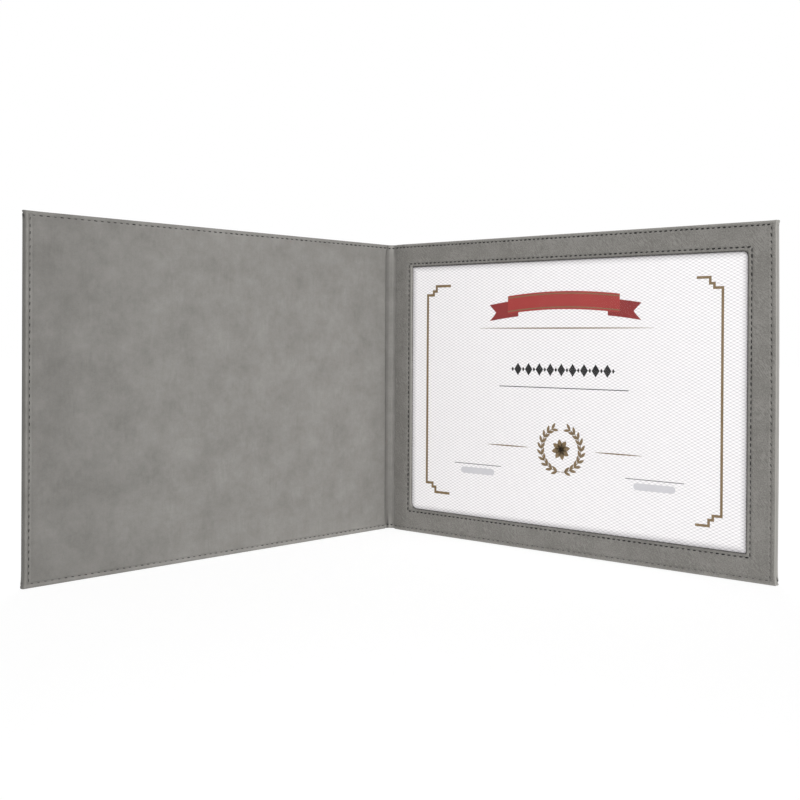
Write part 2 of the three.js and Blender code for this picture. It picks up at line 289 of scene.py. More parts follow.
def sheet_piece(name, points, faces, flat, marks, thickness, finish):
    """A thin piece from its show side, whose faces point outwards.

    The points carry their place on the flat sheet as a UV map, and their marks as an attribute: above 0
    they are paler by painted highlights and rubbing, below 0 darker by painted shade.
    Doubles are merged, Solidify gives the thickness behind the show side, and sharp edges stay crisp.
    """
    mesh = bpy.data.meshes.new(name + "_show_side")
    mesh.from_pydata(points.reshape(-1, 3), [], faces.tolist())
    numbers = np.zeros(len(mesh.loops), np.int32)
    mesh.loops.foreach_get("vertex_index", numbers)
    places = flat.reshape(-1, 2)[numbers] / 1000
    mesh.uv_layers.new(name="flat").uv.foreach_set("vector", places.ravel().astype(np.float32))
    marked = mesh.attributes.new("marks", "FLOAT", "POINT")
    marked.data.foreach_set("value", np.broadcast_to(marks, points.shape[:-1]).ravel().astype(np.float32))
    work = bmesh.new()
    work.from_mesh(mesh)
    bmesh.ops.remove_doubles(work, verts=work.verts, dist=MERGE)
    bmesh.ops.dissolve_degenerate(work, edges=work.edges, dist=MERGE)
    work.to_mesh(mesh)
    work.free()
    mesh.shade_smooth()
    mesh.materials.append(finish)
    piece = bpy.data.objects.new(name, mesh)
    bpy.context.scene.collection.objects.link(piece)
    thicken = piece.modifiers.new("thickness", "SOLIDIFY")
    thicken.thickness = thickness / 1000
    thicken.offset = -1
    solid = bpy.data.meshes.new_from_object(piece.evaluated_get(bpy.context.evaluated_depsgraph_get()))
    piece.modifiers.clear()
    piece.data = solid
    solid.name = name
    solid.set_sharp_from_angle(angle=SHARP)
    bpy.data.meshes.remove(mesh)
    return piece


def bend_at_crease(piece, side, reach):
    """Bakes a half of the leatherette's placing into its mesh; the ends of its turn within reach of the
    crease are worked out, but nothing bends it.
    """
    start = folded(side, CREASE_ALONG - reach, 0, 0)
    end = folded(side, CREASE_ALONG + reach, 0, 0)
    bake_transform(piece)


def nap_group():
    """The nap of brushed suede: mottling from the size of a hand to a pore, and strokes that run one way.

    Turn is the angle across which the strokes follow each other, and Size how wide and how long one is.
    They come and go in patches. The tone lies between two greys, paler where the marks are above 0, for
    painted highlights and rubbing, and darker where they are below 0, for painted shade.
    """
    inputs = {"Flat": "Vector", "Size": "Vector", "Turn": "Float", "Mottle": "Float", "Stroke": "Float",
              "Pores": "Float", "Marks": "Float", "Dark": "Color", "Pale": "Color", "Light And Rubbing": "Color",
              "Pressed": "Color"}
    group, given, out = new_group("nap", inputs, {"Colour": "Color", "Height": "Float"})
    mottle = noise(group, given["Flat"], NAP_MOTTLES, 7.0, 0.76)
    patches = spread(group, noise(group, given["Flat"], NAP_PATCHES, 2.0), 0.38, 0.68)
    turn = add(group, "CombineXYZ", {"Z": given["Turn"]}).outputs[0]
    brushing = {"Vector": given["Flat"], "Rotation": turn, "Scale": given["Size"]}
    brushed = add(group, "Mapping", brushing, vector_type="TEXTURE").outputs[0]
    stroke = arithmetic(group, "SUBTRACT", noise(group, brushed, 1.0, 2.0, 0.5), 0.5)
    pores = noise(group, given["Flat"], NAP_PORES, 3.0, 0.7)
    mottled = arithmetic(group, "MULTIPLY", arithmetic(group, "SUBTRACT", mottle, 0.5), given["Mottle"])
    stroked = arithmetic(group, "MULTIPLY", arithmetic(group, "MULTIPLY", stroke, patches), given["Stroke"])
    pored = arithmetic(group, "MULTIPLY", arithmetic(group, "SUBTRACT", pores, 0.5), given["Pores"])
    tone = arithmetic(group, "ADD", arithmetic(group, "ADD", mottled, stroked), pored)
    tone = arithmetic(group, "ADD", tone, 0.5)
    colour = mixed(group, tone, given["Dark"], given["Pale"])
    # Marks above 0 lighten the tone as painted highlights and rubbing, marks below 0 darken it as painted
    # shade.
    colour = mixed(group, given["Marks"], colour, given["Light And Rubbing"])
    pressed = arithmetic(group, "MULTIPLY", given["Marks"], -1.0)
    join(group, mixed(group, pressed, colour, given["Pressed"]), out["Colour"])
    join(group, arithmetic(group, "ADD", stroke, arithmetic(group, "MULTIPLY", pores, 0.6)), out["Height"])
    return group


nap_nodes = nap_group()


def suede_finish(name, dark, pale, light_and_wear, strokes, mottle, pores):
    """Suede-like leatherette: a nap in two greys, with its painted highlights, rubbing and painted shade from
    the piece's own attribute.

    Strokes are given by their turn, width and length in metres, and strength.
    """
    finish, tree, shader = new_finish(name)
    turn, wide, long, strength = strokes
    inputs = {"Flat": add(tree, "UVMap", uv_map="flat").outputs[0], "Size": (wide, long, 1.0), "Turn": turn,
              "Mottle": mottle, "Stroke": strength, "Pores": pores,
              "Marks": add(tree, "Attribute", attribute_name="marks").outputs["Fac"],
              "Dark": linear(*dark), "Pale": linear(*pale), "Light And Rubbing": linear(*light_and_wear),
              "Pressed": linear(*SUEDE_SHADE)}
    nap = add(tree, "Group", inputs, node_tree=nap_nodes).outputs
    join(tree, nap["Colour"], shader.inputs["Base Color"])
    shader.inputs["Roughness"].default_value = 0.82
    shader.inputs["Specular IOR Level"].default_value = 0.22
    shader.inputs["Sheen Weight"].default_value = 0.08
    shader.inputs["Sheen Roughness"].default_value = 0.5
    bumped(tree, shader, nap["Height"], 0.00008)
    return finish


suede_strokes = (BRUSH_UPRIGHT, 0.0021, 0.010, 0.7)
suede = suede_finish("suede_leatherette", SUEDE_DARK, SUEDE_PALE, SUEDE_LIGHT_AND_WEAR, suede_strokes, 2.4, 0.7)


def pinched(height):
    """How far the seams along the top and bottom draw the spine together: 1 at the edge, 0 away from it."""
    return bell(height, 0, PINCH_LOW) + bell(COVER_HEIGHT - height, 0, PINCH_TOP)


def risen(side, from_crease, height):
    """How far a cover has risen from the thin spine to its full thickness, from 0 to 1.

    STEPS gives the middle, width and slant of the step. Where the seams pinch it, it becomes a wide slope:
    EDGE_STEP is where that starts along the upper and lower edges, and how wide it is there.
    """
    pinch = pinched(height)
    middle, width, slant = STEPS[side]
    start = middle - width / 2 + slant * (height / COVER_HEIGHT - 0.5)
    start = start + (EDGE_STEP[0] - start) * pinch
    return smooth((from_crease - start) / (width + (EDGE_STEP[1] - width) * pinch))


def tuck_slit(side, depth, height):
    """The slits where the corners of the turned-in leatherette are tucked, from 0 to 1 in their middle.

    Each runs aslant over the fore edge: it starts at a gap from the lower or upper edge, and the deeper,
    the further it is from it. SLITS gives the gap, the slant, the width and how far it is open; the more
    open, the darker its painted shadow.
    """
    low, high = SLITS[side]
    made = 0
    for (gap, slant, width, opened), from_edge in ((low, height), (high, COVER_HEIGHT - height)):
        away = from_edge - gap - slant * (depth - WRAP_FACE)
        made = made + opened * bell(away, 0, width, 4)
    return made


def wrap_half(side):
    """Half of the outer sheet: a flat grid for the face, and round it a profile carried along three edges.

    The profile runs in from the face, past the seam's groove, round the edge and back on the inner side.
    Each of its points is an inset from the outline and a depth. The path at that inset goes from the
    spine along the bottom, up the fore edge and back along the top, with round corners while it is
    nearer the outline than corner_round. A slit is pressed in where the corners are tucked.
    """
    border = 9.0
    corner_round = 0.45
    near = np.linspace(0, 10, 26)
    run = np.concatenate([near, np.linspace(12, FORE_ALONG - border, 26)]) / (FORE_ALONG - border)
    close = np.linspace(0, 0.0275, 23)
    rise = np.concatenate([close, np.linspace(0.05, 0.95, 20), 1 - close[::-1]])
    turn = np.linspace(0, math.pi / 2, 6)[1:-1]
    none, whole = np.zeros_like, np.ones_like
    run_share = np.concatenate([run, whole(turn), whole(rise), whole(turn), run[::-1]])
    run_turn = np.concatenate([none(run), np.sin(turn), whole(rise), np.cos(turn), none(run)])
    rise_share = np.concatenate([none(run), none(turn), rise, whole(turn), whole(run)])
    rise_turn = np.concatenate([none(run), 1 - np.cos(turn), whole(rise), 1 + np.sin(turn), 2 * whole(run)])

    def edge_path(inset, corner):
        """The path at an inset from the outline: its shares of both sides, with corners of a given radius."""
        along = run_share * (FORE_ALONG - inset - corner) + corner * run_turn
        height = inset + corner * rise_turn + rise_share * (COVER_HEIGHT - 2 * inset - 2 * corner)
        return along, height

    core = risen(side, run_share * FORE_ALONG - CREASE_ALONG, 0)
    edge_round = SPINE_EDGE_ROUND + COVER_EDGE_MORE * core
    bend = np.radians([0, 20, 40, 60, 90])[:, None]
    face = np.array([border, 6.5, 5, 4.2, 3.8, 3.5, 3.25, 3, 2.75, 2.5, 2.25, 2, 1.6, 1.2])[:, None]
    seam = np.where(rise_share == 0, SEAM_LOW, np.where(rise_share == 1, SEAM_TOP, SEAM_FORE))
    groove = OUTER_GROOVE * bell(face, seam, SEAM_WIDTH)
    groove = groove - OUTER_SWELL * bell(face, seam - SWELL_AWAY, SEAM_WIDTH)
    tucked = np.array([1.2, 3.0, 4.5, 6.0, 8.0, 10.5, 14.0])[:, None]
    tucked_along, tucked_height = edge_path(tucked, 0)
    tucked_top = CORE_TOP * risen(side, tucked_along - CREASE_ALONG, tucked_height)
    edge_top = CORE_TOP * core
    upright = np.linspace(0, 1, 8)[1:-1, None]
    wall_low, wall_high = WRAP_FACE + edge_round, edge_top - edge_round
    inset = np.concatenate([face + 0 * core, edge_round * (1 - np.sin(bend)), 0 * upright + 0 * core,
                            edge_round * (1 - np.cos(bend)), tucked + 0 * core])
    depth = np.concatenate([WRAP_FACE + groove, WRAP_FACE + edge_round * (1 - np.cos(bend)),
                            wall_low + upright * (wall_high - wall_low),
                            edge_top - edge_round * (1 - np.sin(bend)), tucked_top])
    _, level = edge_path(inset, 0)
    on_wall = (inset < edge_round + 0.01) & (run_share == 1) & (rise_share + run_turn > 0.99)
    slit = tuck_slit(side, depth, level) * on_wall
    inset = inset + SLIT_DEPTH * slit
    along, height = edge_path(inset, np.maximum(corner_round - inset, 0))
    steps = np.hypot(np.diff(inset, axis=0), np.diff(depth, axis=0))
    unrolled = border - np.concatenate([0 * core[None], np.cumsum(steps, axis=0)])
    flat_along, flat_height = edge_path(unrolled, 0)
    field_along, field_height = np.meshgrid(run * (FORE_ALONG - border),
                                            border + rise * (COVER_HEIGHT - 2 * border), indexing="ij")
    points = np.concatenate([folded(side, field_along, WRAP_FACE, field_height).reshape(-1, 3),
                             folded(side, along, depth, height).reshape(-1, 3)])
    flat = np.concatenate([np.stack([field_along, field_height], -1).reshape(-1, 2),
                           np.stack([flat_along, flat_height], -1).reshape(-1, 2)])
    faces = np.concatenate([quads(*field_along.shape), quads(*along.shape) + field_along.size])
    # The wrapped edges are painted pale as a highlight, the front's fore edge dark as painted shade, and the
    # tuck slits near-black as painted shadow.
    edge_middle = len(face) + len(bend) + (len(upright) - 1) / 2
    on_edge = bell(np.arange(len(inset)), edge_middle, EDGE_LIGHT_ROWS, 4)[:, None] + 0 * along
    painted_shade_side = (side == FRONT) & (run_share == 1)
    edge_light_and_shade = np.where(painted_shade_side, -EDGE_LIGHT_AND_SHADE, EDGE_LIGHT_AND_SHADE) * on_edge * (1 - slit) - slit
    marks = np.concatenate([np.zeros(field_along.size), edge_light_and_shade.ravel()])
    faces = faces[:, ::-1] if side == BACK else faces
    piece = sheet_piece(COVERS[side] + "_wrap_leather", points, faces, flat, marks, WRAP_THICKNESS, suede)
    bend_at_crease(piece, side, WRAP_BEND)
    return piece


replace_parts(wrap_half(BACK), "back_wrap", "spine_wrap")
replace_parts(wrap_half(FRONT), "front_wrap")


# Linings
# The same leatherette lines both covers, glued over the turned-in edges and sewn down along three of them.
# It steps down off each board onto the spine, where it bulges a little; the seams pinch it at both ends.

LINING_THICKNESS = 0.8
LINING_INSET = 0.15
SPINE_BULGE = 1.5
BULGE_PLACE, BULGE_REACH = 1.0, 2.3
PINCHED_LOWER, PINCHED_NARROWER = 0.7, 0.5
GROOVE_DEPTH, GROOVE_WIDTH, GROOVE_SWELL = 0.32, 0.7, 0.1
GLUE = 0.05
RIM_ROUND = 0.5
OPEN_END = -1000
LINING_BEND = 1.1
RIM_LINES = (0, 0, 0.05, 0.16, 0.32, 0.5, 0.8, 1.15, 1.5, 1.75, 2, 2.25, 2.5, 2.75, 3, 3.25, 3.5,
             3.8, 4.1, 4.4, 4.7, 5, 5.3, 5.6, 6, 6.6, 7.4, 8.4, 9.5)


def to_box(along, height, low, high):
    """The signed distance of points from a rectangle's outline, negative inside it."""
    low, high = np.array(low), np.array(high)
    out = np.abs(np.stack([along, height], -1) - (low + high) / 2) - (high - low) / 2
    return np.hypot(*np.moveaxis(np.maximum(out, 0), -1, 0)) + np.minimum(out.max(-1), 0)


def cover_seam(along, height):
    """The distance from the seam round a cover, which is open towards the spine."""
    high = (FORE_ALONG - SEAM_FORE, COVER_HEIGHT - SEAM_TOP)
    return to_box(along, height, (OPEN_END, SEAM_LOW), high)


def sewn(distance):
    """How far leatherette is raised by a seam: a groove under the thread, and a swell on either side."""
    away = np.abs(distance)
    return GROOVE_SWELL * bell(away, SWELL_AWAY, SEAM_WIDTH) - GROOVE_DEPTH * bell(away, 0, GROOVE_WIDTH)


def rolled_rim(to_fore, to_side, radius):
    """Rounds a rim on a quarter circle: how far points move in from the fore edge and the side, and drop.

    Near a corner the square of the two distances is drawn onto a disc, so the corner is round in plan.
    """
    from_fore = np.maximum(radius - to_fore, 0)
    from_side = np.maximum(radius - to_side, 0)
    most = np.maximum(from_fore, from_side)
    shrink = 1 - most / np.maximum(np.hypot(from_fore, from_side), 1e-9)
    return from_fore * shrink, from_side * shrink, radius - np.sqrt(np.maximum(radius ** 2 - most ** 2, 0))


def mark(value, kind, power=2):
    """A bell in the marks or the depth, of a kind that gives its strength, middle and width."""
    strength, middle, width = kind
    return strength * bell(value, middle, width, power)


POCKET_LIP = (0.7, 2.45, 0.3)


def lining_depth(side, along, height):
    """The lining's face before its rim is rolled: the step off the board, the spine's bulge and the seam.

    The slack over the spine stands up as a bell that is nearer the back cover and narrows where it is
    pinched. On the back cover the step ends in a lip, which closes the pocket's mouth.
    """
    pinch = pinched(height)
    from_crease = along - CREASE_ALONG
    reach = BULGE_REACH * (1 - PINCHED_NARROWER * pinch)
    bulge = SPINE_BULGE * (1 - PINCHED_LOWER * pinch) * bell(side * along, BULGE_PLACE, reach)
    lip = (side == BACK) * mark(from_crease, POCKET_LIP)
    shaped = bulge + (1 - pinch) * lip
    level = CORE_TOP * risen(side, from_crease, height) + GLUE + LINING_THICKNESS
    return level + shaped + sewn(cover_seam(along, height))


# Marks on the lining: strength, middle and width. The rim's highlight is painted, and so is the shade towards
# and at the front's fore edge, in the spine's grooves and under its slack.
RIM_HIGHLIGHT = (0.12, 1.4, 0.8)
RUBBED_PINCH = (0.22, 0.4, 0.8)
FRONT_FOOT_RIM, FRONT_FOOT = (0.06, 1.3, 1.3), (0.12, 0.0, 12.0)
FOOT_ALONG = 240.0
FRONT_FORE_SHADE, FRONT_FORE_EDGE_SHADE = (0.19, 0.0, 75.0), (0.4, 0.0, 0.5)
LOW_REACH, HIGH_REACH = 90.0, 16.0
FRONT_GROOVE_SHADE, FRONT_GROOVE_FOOT_SHADE = (0.35, -3.9, 2.2), (0.5, -1.7, 1.0)
GROOVE_DRAWN, GROOVE_NARROWER = 2.2, 1.2
BACK_GROOVE_SHADE, BACK_GROOVE_TOP_SHADE, BACK_GROOVE_FOOT_SHADE = (0.14, 5.0, 1.8), (0.4, 3.0, 1.2), (0.2, 3.0, 1.2)
SLACK_SHADE, SLACK_SHADE_LOW = (0.15, 0.5, 2.2), (0.14, -0.4, 2.4)


def lining_light_and_wear(side, along, height, to_side, to_fore):
    """Where the lining is paler, above 0, by a painted rim highlight and rubbing, and darker, below 0, by
    painted shade.

    Each mark is a bell across the rim, a cover or the spine. Some show only low down or at the top, and
    at the foot the front groove is drawn towards the middle of the spine and narrows.
    """
    across = side * along
    pinch = pinched(height)
    low = smooth(1 - height / LOW_REACH)
    high = smooth(1 - (COVER_HEIGHT - height) / HIGH_REACH)
    foot = low * pinch
    # The rim's mark is a painted highlight.
    light_and_wear = mark(np.minimum(to_side, to_fore), RIM_HIGHLIGHT) + pinch * mark(across, RUBBED_PINCH)
    if side == FRONT:
        near_spine = smooth(1 - along / FOOT_ALONG)
        light_and_wear = light_and_wear + mark(height, FRONT_FOOT_RIM) + near_spine * mark(height, FRONT_FOOT)
        # The front takes painted shade towards its fore edge and, darker, at its fore rim.
        light_and_wear = light_and_wear - mark(to_fore, FRONT_FORE_SHADE) - mark(to_fore, FRONT_FORE_EDGE_SHADE)
    # Painted shade in the grooves on either side of the spine, and under the slack lining over it.
    strength, middle, width = FRONT_GROOVE_SHADE
    drawn = strength, middle + GROOVE_DRAWN * foot, width - GROOVE_NARROWER * foot
    front_groove_shade = mark(across, drawn, 4) + foot * mark(across, FRONT_GROOVE_FOOT_SHADE)
    back_groove_shade = mark(across, BACK_GROOVE_SHADE) + high * mark(across, BACK_GROOVE_TOP_SHADE)
    back_groove_shade = back_groove_shade + foot * mark(across, BACK_GROOVE_FOOT_SHADE)
    slack = mark(across, SLACK_SHADE) + low * mark(across, SLACK_SHADE_LOW, 4)
    return light_and_wear - front_groove_shade - back_groove_shade - slack * (1 - pinch)


def lining_half(side):
    """Half of the lining, as a grid of lines that are close together at the step, the seams and the rim."""
    rim = np.array(RIM_LINES)
    end = FORE_ALONG - LINING_INSET
    step = CREASE_ALONG + np.concatenate([np.linspace(0.4, 5, 31), [5.6, 6.5, 8, 10]])
    along_lines = np.concatenate([np.linspace(0, CREASE_ALONG, 14), step,
                                  np.linspace(CREASE_ALONG + 14, end - 12, 36), end - rim[::-1]])
    top = COVER_HEIGHT - LINING_INSET
    spine_end = np.concatenate([LINING_INSET + rim, np.linspace(10.8, 18, 6)])
    height_lines = np.concatenate([spine_end, np.linspace(24, COVER_HEIGHT - 24, 28),
                                   COVER_HEIGHT - spine_end[::-1]])
    along, height = np.meshgrid(along_lines, height_lines, indexing="ij")
    to_side = np.minimum(height - LINING_INSET, top - height)
    depth = lining_depth(side, along, height)
    move_along, move_height, drop = rolled_rim(end - along, to_side, RIM_ROUND)
    skirt = np.zeros(along.shape, bool)
    skirt[-1, :] = skirt[:, 0] = skirt[:, -1] = True
    depth = np.where(skirt, depth - LINING_THICKNESS, depth - drop)
    flat = np.stack([along, height], -1)
    upper = height > COVER_HEIGHT / 2
    points = folded(side, along - move_along, depth, height + np.where(upper, -move_height, move_height))
    marks = lining_light_and_wear(side, along, height, to_side, end - along)
    faces = quads(*along.shape)
    faces = faces if side == BACK else faces[:, ::-1]
    piece = sheet_piece(COVERS[side] + "_lining_leather", points, faces, flat, marks,
                        LINING_THICKNESS - GLUE, suede)
    bend_at_crease(piece, side, LINING_BEND)
    return piece


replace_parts(lining_half(BACK), "back_lining", "spine_liner")
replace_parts(lining_half(FRONT), "front_liner")


# Certificate
# A landscape letter-size sheet of smooth white card, printed with a faint diamond net and stepped brackets.
# The rest of the print is a plain award form: a bare ribbon, a row of lozenges, rules and a wreath.

CARD_WHITE = (252, 250, 251)
NET_GREY = (205, 202, 205)
NET_ALONG, NET_UP = 236.0, 440.0
CARD_CLOUDS, CARD_TOOTH = 120.0, 2500.0
INK_THICKNESS = 0.02
INK_WASH, INK_GRAIN, GRAIN_SHARE = 60.0, 3000.0, 0.12
GOLD_PALE = (131, 110, 79)
GOLD_DARK = (109, 89, 60)
RED_PALE = (166, 58, 54)
RED_DARK = (145, 46, 45)
DEEP_RED = (112, 33, 34)
BLACK_PALE = (22, 20, 22)
BLACK_DARK = (8, 7, 8)
GREY_PALE = (211, 210, 214)
GREY_DARK = (195, 194, 199)

card_low, card_high = (1000 * np.array(corner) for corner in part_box("certificate"))
card_middle = (card_low + card_high) / 2


def card_finish():
    """White card: two sets of thin slanting lines add up to a net, over a faint cloudiness of the pulp."""
    finish, tree, shader = new_finish("printed_card")
    place = add(tree, "TexCoord").outputs["Object"]
    lines = []
    for lean in (-1, 1):
        slope = (2 * math.pi * lean * NET_ALONG, 0.0, 2 * math.pi * NET_UP)
        phase = add(tree, "VectorMath", {0: place, 1: slope}, operation="DOT_PRODUCT").outputs["Value"]
        wave = add(tree, "Math", {0: phase}, operation="SINE").outputs[0]
        lines.append(spread(tree, wave, -0.1, 1.0))
    net = arithmetic(tree, "MULTIPLY", arithmetic(tree, "ADD", *lines), 0.5)
    pulp = noise(tree, place, CARD_CLOUDS, 3.0)
    strength = arithmetic(tree, "MULTIPLY", net, spread(tree, pulp, -0.8, 0.6))
    join(tree, mixed(tree, strength, linear(*CARD_WHITE), linear(*NET_GREY)), shader.inputs["Base Color"])
    shader.inputs["Roughness"].default_value = 0.6
    bumped(tree, shader, noise(tree, place, CARD_TOOTH), 0.00001)
    return finish


def ink_group():
    """Printing ink, a little uneven where it has sunk into the card: a slow wash and a fine grain."""
    inputs = {"Place": "Vector", "Dark": "Color", "Pale": "Color"}
    group, given, out = new_group("ink", inputs, {"Colour": "Color"})
    wash = noise(group, given["Place"], INK_WASH, 3.0)
    grain = arithmetic(group, "MULTIPLY", noise(group, given["Place"], INK_GRAIN), GRAIN_SHARE)
    tone = arithmetic(group, "ADD", arithmetic(group, "MULTIPLY", wash, 1 - GRAIN_SHARE), grain)
    join(group, mixed(group, tone, given["Dark"], given["Pale"]), out["Colour"])
    return group


ink_nodes = ink_group()


def ink_finish(name, pale, dark, roughness):
    """One ink in a pale and a dark tone."""
    finish, tree, shader = new_finish(name)
    inputs = {"Place": add(tree, "TexCoord").outputs["Object"], "Dark": linear(*dark), "Pale": linear(*pale)}
    ink = add(tree, "Group", inputs, node_tree=ink_nodes).outputs
    join(tree, ink["Colour"], shader.inputs["Base Color"])
    shader.inputs["Roughness"].default_value = roughness
    return finish


gold_ink = ink_finish("gold_ink", GOLD_PALE, GOLD_DARK, 0.45)
red_ink = ink_finish("red_ink", RED_PALE, RED_DARK, 0.55)
black_ink = ink_finish("black_ink", BLACK_PALE, BLACK_DARK, 0.6)
grey_ink = ink_finish("grey_ink", GREY_PALE, GREY_DARK, 0.65)
dress("certificate", card_finish())


def printed(name, shapes, ink, lift=1):
    """Shapes of ink on the card: each is a grid of points, right and up from the card's middle.

    Ink is a thin layer on the card's face. Lift says how many layers lie under it.
    """
    points = []
    faces = []
    count = 0
    for shape in shapes:
        across = shape.reshape(-1, 2)
        level = np.full(len(across), card_low[1] - lift * INK_THICKNESS)
        points.append(np.stack([card_middle[0] + across[:, 0], level, card_middle[2] + across[:, 1]], -1))
        made = quads(*shape.shape[:2]) + count
        first, second = (shape[1, 0] - shape[0, 0]), (shape[0, 1] - shape[0, 0])
        clockwise = first[0] * second[1] - first[1] * second[0] < 0
        faces.append(made[:, ::-1] if clockwise else made)
        count += len(across)
    points = np.concatenate(points) / 1000
    piece = sheet_piece(name, points, np.concatenate(faces), 1000 * points[:, ::2], 0, INK_THICKNESS, ink)
    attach(piece, "certificate")
    return piece


def stroke(path, width):
    """A line of ink along a path: each point is moved half a width to either side along its mitre."""
    path = np.array(path, float)
    run = np.diff(path, axis=0)
    run = run / np.linalg.norm(run, axis=1, keepdims=True)
    left = np.stack([-run[:, 1], run[:, 0]], -1)
    before = np.concatenate([left[:1], left])
    after = np.concatenate([left, left[-1:]])
    mitre = (before + after) / (1 + (before * after).sum(-1, keepdims=True))
    half = np.broadcast_to(np.asarray(width) / 2, len(path))[:, None]
    return np.stack([path - half * mitre, path + half * mitre], 1)


BRACKET_REACH = 117.8
STEPS_IN, STEPS_DOWN = (8.4, 5.6), (4.0, 6.9)
RIGHT_BRACKET, RIGHT_SHIFT = (100.3, 80.9), (-0.7, -1.0)
LEFT_BRACKET, LEFT_SHIFT = (96.0, 80.2), (-0.7, -0.45)
BRACKET_WIDTHS = (1.75, 1.95)
MIRRORED = np.array([-1, 1])


def corner_bracket(inner, tall):
    """One side's bracket: a tall upright that steps inwards three times at its top and its foot."""
    reach = BRACKET_REACH
    first, second = (reach - step for step in STEPS_IN)
    lower, lowest = (tall - step for step in STEPS_DOWN)
    top = [(inner, tall), (first, tall), (first, lower), (second, lower), (second, lowest), (reach, lowest)]
    return np.array(top + [(across, -up) for across, up in top[::-1]])


right_bracket = corner_bracket(*RIGHT_BRACKET) + RIGHT_SHIFT
left_bracket = corner_bracket(*LEFT_BRACKET) * MIRRORED + LEFT_SHIFT
brackets = [stroke(path, width) for path, width in zip((right_bracket, left_bracket), BRACKET_WIDTHS)]
printed("certificate_brackets", brackets, gold_ink)


RIBBON_ARC, RIBBON_BULGE = 60, 5
RIBBON_HALF, RIBBON_LEVEL, RIBBON_TALL = 45, 62, 13
TAIL_START, TAIL_END, TAIL_LEVEL, TAIL_TALL, TAIL_NOTCH = 36, 61, 58.5, 12, 6
EDGING_AWAY, EDGING_TALL = 4.9, 0.8
BAND_LINES, BAND_ROWS = 41, 9


def ribbon_band(first, last, middle, height, notch_depth=0):
    """A band of ribbon on a shallow arc, a square in the way across, its end cut in a notch."""
    across = np.linspace(first, last, BAND_LINES)[:, None]
    up = np.linspace(-0.5, 0.5, BAND_ROWS)[None]
    notch = notch_depth * (1 - 2 * np.abs(up)) * np.linspace(0, 1, BAND_LINES)[:, None] ** 6
    centre = middle + RIBBON_BULGE * (1 - (across / RIBBON_ARC) ** 2)
    return np.stack([across - np.sign(last - first) * notch + 0 * up, centre + height * up], -1)


tails = [ribbon_band(sign * TAIL_START, sign * TAIL_END, TAIL_LEVEL, TAIL_TALL, TAIL_NOTCH)
         for sign in (-1, 1)]
printed("certificate_ribbon_tails", tails, ink_finish("deep_red_ink", RED_DARK, DEEP_RED, 0.55))
ribbon = ribbon_band(-RIBBON_HALF, RIBBON_HALF, RIBBON_LEVEL, RIBBON_TALL)
printed("certificate_ribbon", [ribbon], red_ink, 2)
edgings = [ribbon_band(-RIBBON_HALF, RIBBON_HALF, RIBBON_LEVEL + sign * EDGING_AWAY, EDGING_TALL)
           for sign in (-1, 1)]
printed("certificate_ribbon_edging", edgings, gold_ink, 3)


def tapered_rule(first, last, level, width):
    """A rule that swells to its full width in the middle and runs out to points."""
    count = 25
    along = np.linspace(first, last, count)
    swell = width * np.sin(np.pi * np.linspace(0.02, 0.98, count)) ** 0.6
    return stroke(np.stack([along, np.full(count, level)], -1), swell)


def lozenge(middle, reach, tall):
    """A lozenge as a small grid: the corners of a square turned to stand on one of them."""
    turned = np.array([[(-1, 0), (0, -1)], [(0, 1), (1, 0)]])
    return np.array(middle) + turned * np.array([reach, tall])


GOLD_WIDTH, MIDDLE_WIDTH, FOOT_WIDTH = 0.9, 0.6, 0.45
HEAD_LEVEL, BRAID_LEVEL, MIDDLE_LEVEL, WREATH_LEVEL, FOOT_LEVEL = 47, 17, 4, -40, -56
HEAD_END, MIDDLE_END = 70, 52
WREATH_RULE, FOOT_RULE = (27, 62), (50, 92)
BRAID_END, BRAID_PITCH = 36, 9
BRAID_LOZENGE, BRAID_STUD = (3.1, 4.6), (1.1, 1.7)
gold_rules = [tapered_rule(-HEAD_END, HEAD_END, HEAD_LEVEL, GOLD_WIDTH),
              tapered_rule(-WREATH_RULE[1], -WREATH_RULE[0], WREATH_LEVEL, GOLD_WIDTH),
              tapered_rule(*WREATH_RULE, WREATH_LEVEL, GOLD_WIDTH)]
printed("certificate_rules", gold_rules, gold_ink)
braid_places = np.arange(-BRAID_END, BRAID_END + 1, BRAID_PITCH)
stud_places = np.append(braid_places, BRAID_END + BRAID_PITCH) - BRAID_PITCH / 2
braid = [lozenge((place, BRAID_LEVEL), *BRAID_LOZENGE) for place in braid_places]
studs = [lozenge((place, BRAID_LEVEL), *BRAID_STUD) for place in stud_places]
printed("certificate_lozenges", braid + studs, black_ink)
fine_rules = [stroke([(-MIDDLE_END, MIDDLE_LEVEL), (MIDDLE_END, MIDDLE_LEVEL)], MIDDLE_WIDTH),
              stroke([(-FOOT_RULE[1], FOOT_LEVEL), (-FOOT_RULE[0], FOOT_LEVEL)], FOOT_WIDTH),
              stroke([(FOOT_RULE[0], FOOT_LEVEL), (FOOT_RULE[1], FOOT_LEVEL)], FOOT_WIDTH)]
printed("certificate_fine_rules", fine_rules, black_ink)


def field(middle, reach, tall):
    """A pale bar with round ends: its half height falls away on a circle at either end."""
    along = np.sin(np.linspace(-1, 1, 33) * np.pi / 2) * reach
    half = np.sqrt(np.maximum(tall ** 2 - np.maximum(np.abs(along) - (reach - tall), 0) ** 2, 0.01))
    return np.array(middle) + np.stack([np.stack([along, -half], -1), np.stack([along, half], -1)], 1)


FIELD_PLACE, FIELD_BELOW, FIELD_REACH, FIELD_TALL = 71, 5, 15, 2.4
fields = [field((sign * FIELD_PLACE, FOOT_LEVEL - FIELD_BELOW), FIELD_REACH, FIELD_TALL) for sign in (-1, 1)]
printed("certificate_fields", fields, grey_ink)


